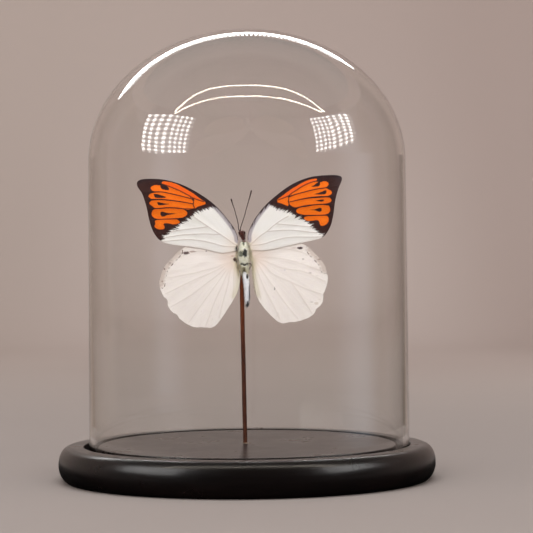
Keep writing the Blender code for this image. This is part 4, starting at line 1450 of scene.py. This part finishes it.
TUBES = {
    "tube_upper": ((-0.705, -0.332, 0.626), (-0.422, -0.266, 0.867),
                   (0.009, -0.298, 0.955), (0.448, -0.254, 0.857),
                   (0.754, -0.265, 0.601)),
    "tube_lower": ((-0.71, -0.345, 0.61), (-0.34, -0.448, 0.83), (0.011, -0.488, 0.873),
                   (0.36, -0.44, 0.825), (0.745, -0.30, 0.602))}
# Soft lights: place, aim, width and power.
SOFT_LIGHTS = {
    "key_light": ((-0.5, -1.5, 0.6), (0, 0, 0.1), 1.1, 13.8),
    "fill_light": ((0.7, -1.5, 0.5), (0, 0, 0.1), 1.1, 10.3),
    "top_light": ((0.0, -0.2, 1.8), (0.0, 2.0, 0.0), 1.6, 28.0)}

# The pale sweep, in millimetres: a flat round floor, its curve, and its upper edge.
FLOOR_RADIUS = 1350
SWEEP_CURVE = 650
SWEEP_TOP = (0, 0, 1900, 2030, 2030)


def build_camera():
    data = bpy.data.cameras.new("studio_camera")
    data.lens = FOCAL_WIDTHS * SENSOR
    data.sensor_width = SENSOR
    data.clip_start = 0.01
    camera = into_scene("studio_camera", data)
    camera.location = CAMERA_AT
    camera.rotation_euler = (math.pi / 2, CAMERA_ROLL, 0)
    bpy.context.scene.camera = camera


def sweep_paper():
    """Pale paper, painted darker near the piece against the stronger light there, with a
    painted pool of light mid-way round the far curve and painted shade to the right; the
    polished wood mirrors it as dark near the piece, a painted reflection.
    """
    tree, shader, paper = finish("pale_sweep", 0.9, Specular_IOR_Level=0.1)
    place = spot_coordinates(tree)
    away = add(tree, "VectorMath", out=1, props={"operation": "LENGTH"},
               _0=stretch(tree, place, 1.0, 1.0, 0.0))
    x = part_of(tree, place, 0)
    # A painted pool of light in the middle of the far curve.
    middle = times(tree, ramp(tree, maths(tree, "ABSOLUTE", x), 0.34, 0.14),
                   ramp(tree, away, 2.0, 1.7, 0.2, 1.0))
    # Near the piece and in front of it, a painted reflection: dark in mirror reflections
    # only.
    near = maths(tree, "MAXIMUM", ramp(tree, part_of(tree, place, 1), -0.05, -0.2),
                 ramp(tree, away, 0.2, 0.14))
    # Painted darker near the piece against the stronger light, and painted shade to the
    # right.
    feed(tree, shader, layers(
        tree, (158, 146, 140), (ramp(tree, away, 0.0, 1.4), (192, 176, 167)),
        (ramp(tree, away, 1.7, 2.0), (195, 179, 170)),
        (ramp(tree, x, -0.35, 0.4), (186, 168, 160), ramp(tree, away, 0.3, 1.4)),
        (middle, (204, 188, 180), ramp(tree, away, 0.9, 1.5)),
        (grain(tree, place, 1.2), (196, 180, 172), 0.1),
        (mirrored_ray(tree), (14, 12, 12), near)))
    return paper


def build_sweep():
    """A round pale floor that curves up far from the piece on every side."""
    rings = [(0, 0, 0, FLOOR_RADIUS, FLOOR_RADIUS)]
    for a in np.linspace(0, math.pi / 2, 17)[1:]:
        r = FLOOR_RADIUS + SWEEP_CURVE * math.sin(a)
        rings.append((0, 0, SWEEP_CURVE * (1 - math.cos(a)), r, r))
    rings.append(SWEEP_TOP)
    bpy.ops.object.select_all(action="DESELECT")
    bpy.ops.mesh.primitive_circle_add(vertices=128, radius=FLOOR_RADIUS * MM,
                                      fill_type="NGON")
    sweep = bpy.context.object
    edit(sweep)
    bpy.ops.mesh.select_all(action="SELECT")
    bpy.ops.mesh.select_mode(type="EDGE")
    bpy.ops.mesh.region_to_loop()
    for before, after in zip(rings, rings[1:]):
        draw_out(before, after, bpy.ops.mesh.extrude_edges_move)
    close_edit(outward=False)
    sweep.name = "pale_sweep"
    alone(sweep)
    bpy.ops.object.shade_smooth()
    sweep.data.materials.append(sweep_paper())


def bare(name):
    """A new material with no nodes."""
    material = bpy.data.materials.new(name)
    material.use_nodes = True
    material.node_tree.nodes.clear()
    return material.node_tree, material


def shine(tree, light, hidden):
    """Show a light, and nothing at all where hidden is 1."""
    surface = add(tree, "MixShader", _0=hidden, _1=light, _2=add(tree, "BsdfTransparent"))
    output = tree.nodes.new("ShaderNodeOutputMaterial")
    tree.links.new(surface, output.inputs["Surface"])


def lamp_face(name, strength, color, rows=(), gap=0.12):
    """Light from a panel, seen in reflections but not through or past the glass."""
    tree, material = bare(name)
    level = strength
    if rows:
        # Rows of small bright cells, as in a panel of light diodes.
        place = add(tree, "UVMap", props={"uv_map": "UVMap"})
        for k, (count, dark) in enumerate(zip(rows, (gap, 0.2))):
            wave = maths(tree, "SINE", times(
                tree, part_of(tree, place, k), count * math.tau))
            level = times(tree, level, ramp(tree, wave, -0.3, 0.8, dark, 1.0))
    path = ray(tree)
    straight = times(tree, maths(tree, "LESS_THAN", path["Glossy Depth"], 0.5),
                     maths(tree, "LESS_THAN", path["Diffuse Depth"], 0.5),
                     path["Is Transmission Ray"])
    from_behind = add(tree, "NewGeometry", out="Backfacing")
    shine(tree, add(tree, "Emission", Color=color, Strength=level),
          maths(tree, "MAXIMUM", straight, from_behind))
    return material


def room_tones():
    """Painted reflections for clear glass, glowing only in mirror reflections: the dark
    sides of a room and, on the right, a pale window.
    """
    tree, material = bare("room_tones")
    place = spot_coordinates(tree)
    turn = maths(tree, "ARCTAN2", part_of(tree, place, 0),
                 times(tree, part_of(tree, place, 1), -1.0))
    color = layers(
        tree, (102, 93, 87),
        (ramp(tree, turn, 0.9, 1.3), (200, 209, 222), ramp(tree, turn, 1.7, 1.35)),
        (ramp(tree, turn, -1.2, -1.9), (136, 120, 109)),
        (ramp(tree, turn, 1.4, 1.8), (86, 75, 66)),
        (ramp(tree, maths(tree, "ABSOLUTE", turn), 2.3, 2.55), (168, 150, 140)))
    mirrored = times(tree, mirrored_ray(tree), ray(tree)["Is Singular Ray"])
    shine(tree, add(tree, "Emission", Color=color), minus(tree, 1.0, mirrored))
    material.cycles.emission_sampling = "NONE"
    return material


def dark_felt():
    tree, shader, material = finish("dark_felt", 0.9, Specular_IOR_Level=0.0)
    nap = grain(tree, spot_coordinates(tree), 3.0)
    feed(tree, shader, layers(tree, (20, 19, 18), (nap, (96, 90, 84), 0.15)))
    return material


def lamp(name, corners, material):
    """A panel that shines towards the piece: points in metres along one edge and back."""
    corners = [Vector(c) for c in corners]
    last, half = len(corners) - 1, len(corners) // 2 - 1
    uvs = [(k / half, 0) for k in range(half + 1)]
    uvs += [(u, 1) for u, _ in reversed(uvs)]
    facing = (corners[1] - corners[0]).cross(corners[-1] - corners[0])
    if facing.dot(Vector((0, 0, 0.1)) - corners[0]) < 0:
        corners.reverse()
        uvs.reverse()
    panel = new_piece(name, corners, [(k, k + 1, last - k - 1, last - k)
                                      for k in range(half)])
    layer = panel.data.uv_layers.new(name="UVMap")
    for loop, corner in zip(layer.data, panel.data.loops):
        loop.uv = uvs[corner.vertex_index]
    panel.data.materials.append(material)
    panel.visible_camera = panel.visible_diffuse = False


def build_panels():
    side = lamp_face("side_panel_light", 21.0, WHITE, rows=(8.0, 9.0))
    for name, ways in SIDE_PANELS.items():
        lamp(name, [SIDE_CENTRE + Vector(w) for w in ways], side)
    lamp("lamp_behind", BACK_STRIP, lamp_face("back_strip_light", 14.0, WHITE))
    lamp("lamp_behind_dots", BACK_DOTS,
         lamp_face("back_dots_light", 7.0, WHITE, rows=(62.0,), gap=0.0))
    # Two long thin tubes over the front.
    tube_light = lamp_face("tube_light", 44.0, (1.0, 0.9, 0.76, 1.0))
    for name, ways in TUBES.items():
        line = [Vector(p) for p in smooth(ways, 10)]
        for k, (a, b) in enumerate(zip(line, line[1:])):
            wide = (b - a).cross(a).normalized() * TUBE_HALF_WIDTH
            lamp(f"{name}_{k}", [CROWN + p for p in (
                a - wide, b - wide, b + wide, a + wide)], tube_light)


def build_soft_lights():
    for name, (place, aim, size, power) in SOFT_LIGHTS.items():
        data = bpy.data.lights.new(name, "AREA")
        data.shape, data.size, data.size_y = "RECTANGLE", size, size * 0.6
        data.energy, data.color = power, (0.93, 0.97, 1.0)
        light = into_scene(name, data)
        light.location = place
        light.rotation_euler = (Vector(aim) - Vector(place)).to_track_quat(
            "-Z", "Y").to_euler()
        light.visible_camera = light.visible_glossy = light.visible_transmission = False
    world = bpy.data.worlds.new("studio")
    bpy.context.scene.world = world
    world.use_nodes = True
    background = world.node_tree.nodes["Background"]
    background.inputs["Color"].default_value = (0.98, 0.98, 0.96, 1.0)
    background.inputs["Strength"].default_value = 0.24


def build_cards():
    """A dark card round the front for the wood, and two rings of room tones for the
    glass, all seen only in reflections."""
    felt, tones = dark_felt(), room_tones()
    for name, material, radius, first, last, turns, top in (
            ("dark_card", felt, 1.28, -155, -25, 14, 1.9),
            ("room_near", tones, 0.26, -236, 56, 74, 0.155),
            ("room_far", tones, 1.26, -247, 67, 74, 1.0)):
        card = new_piece(name, [
            (radius * math.cos(a), radius * math.sin(a), z)
            for a in np.radians(np.linspace(first, last, turns)) for z in (0, top)],
            [(2 * k, 2 * k + 1, 2 * k + 3, 2 * k + 2) for k in range(turns - 1)])
        card.data.materials.append(material)
        card.visible_camera = card.visible_diffuse = card.visible_shadow = False
        card.visible_transmission = material is tones


build_camera()
build_sweep()
build_panels()
build_soft_lights()
build_cards()
build_base()
build_dome()
build_stick()
build_wings()
build_body()
build_feelers()
build_legs()
build_hair()
bpy.context.scene.view_settings.view_transform = "Standard"
bpy.ops.object.select_all(action="DESELECT")
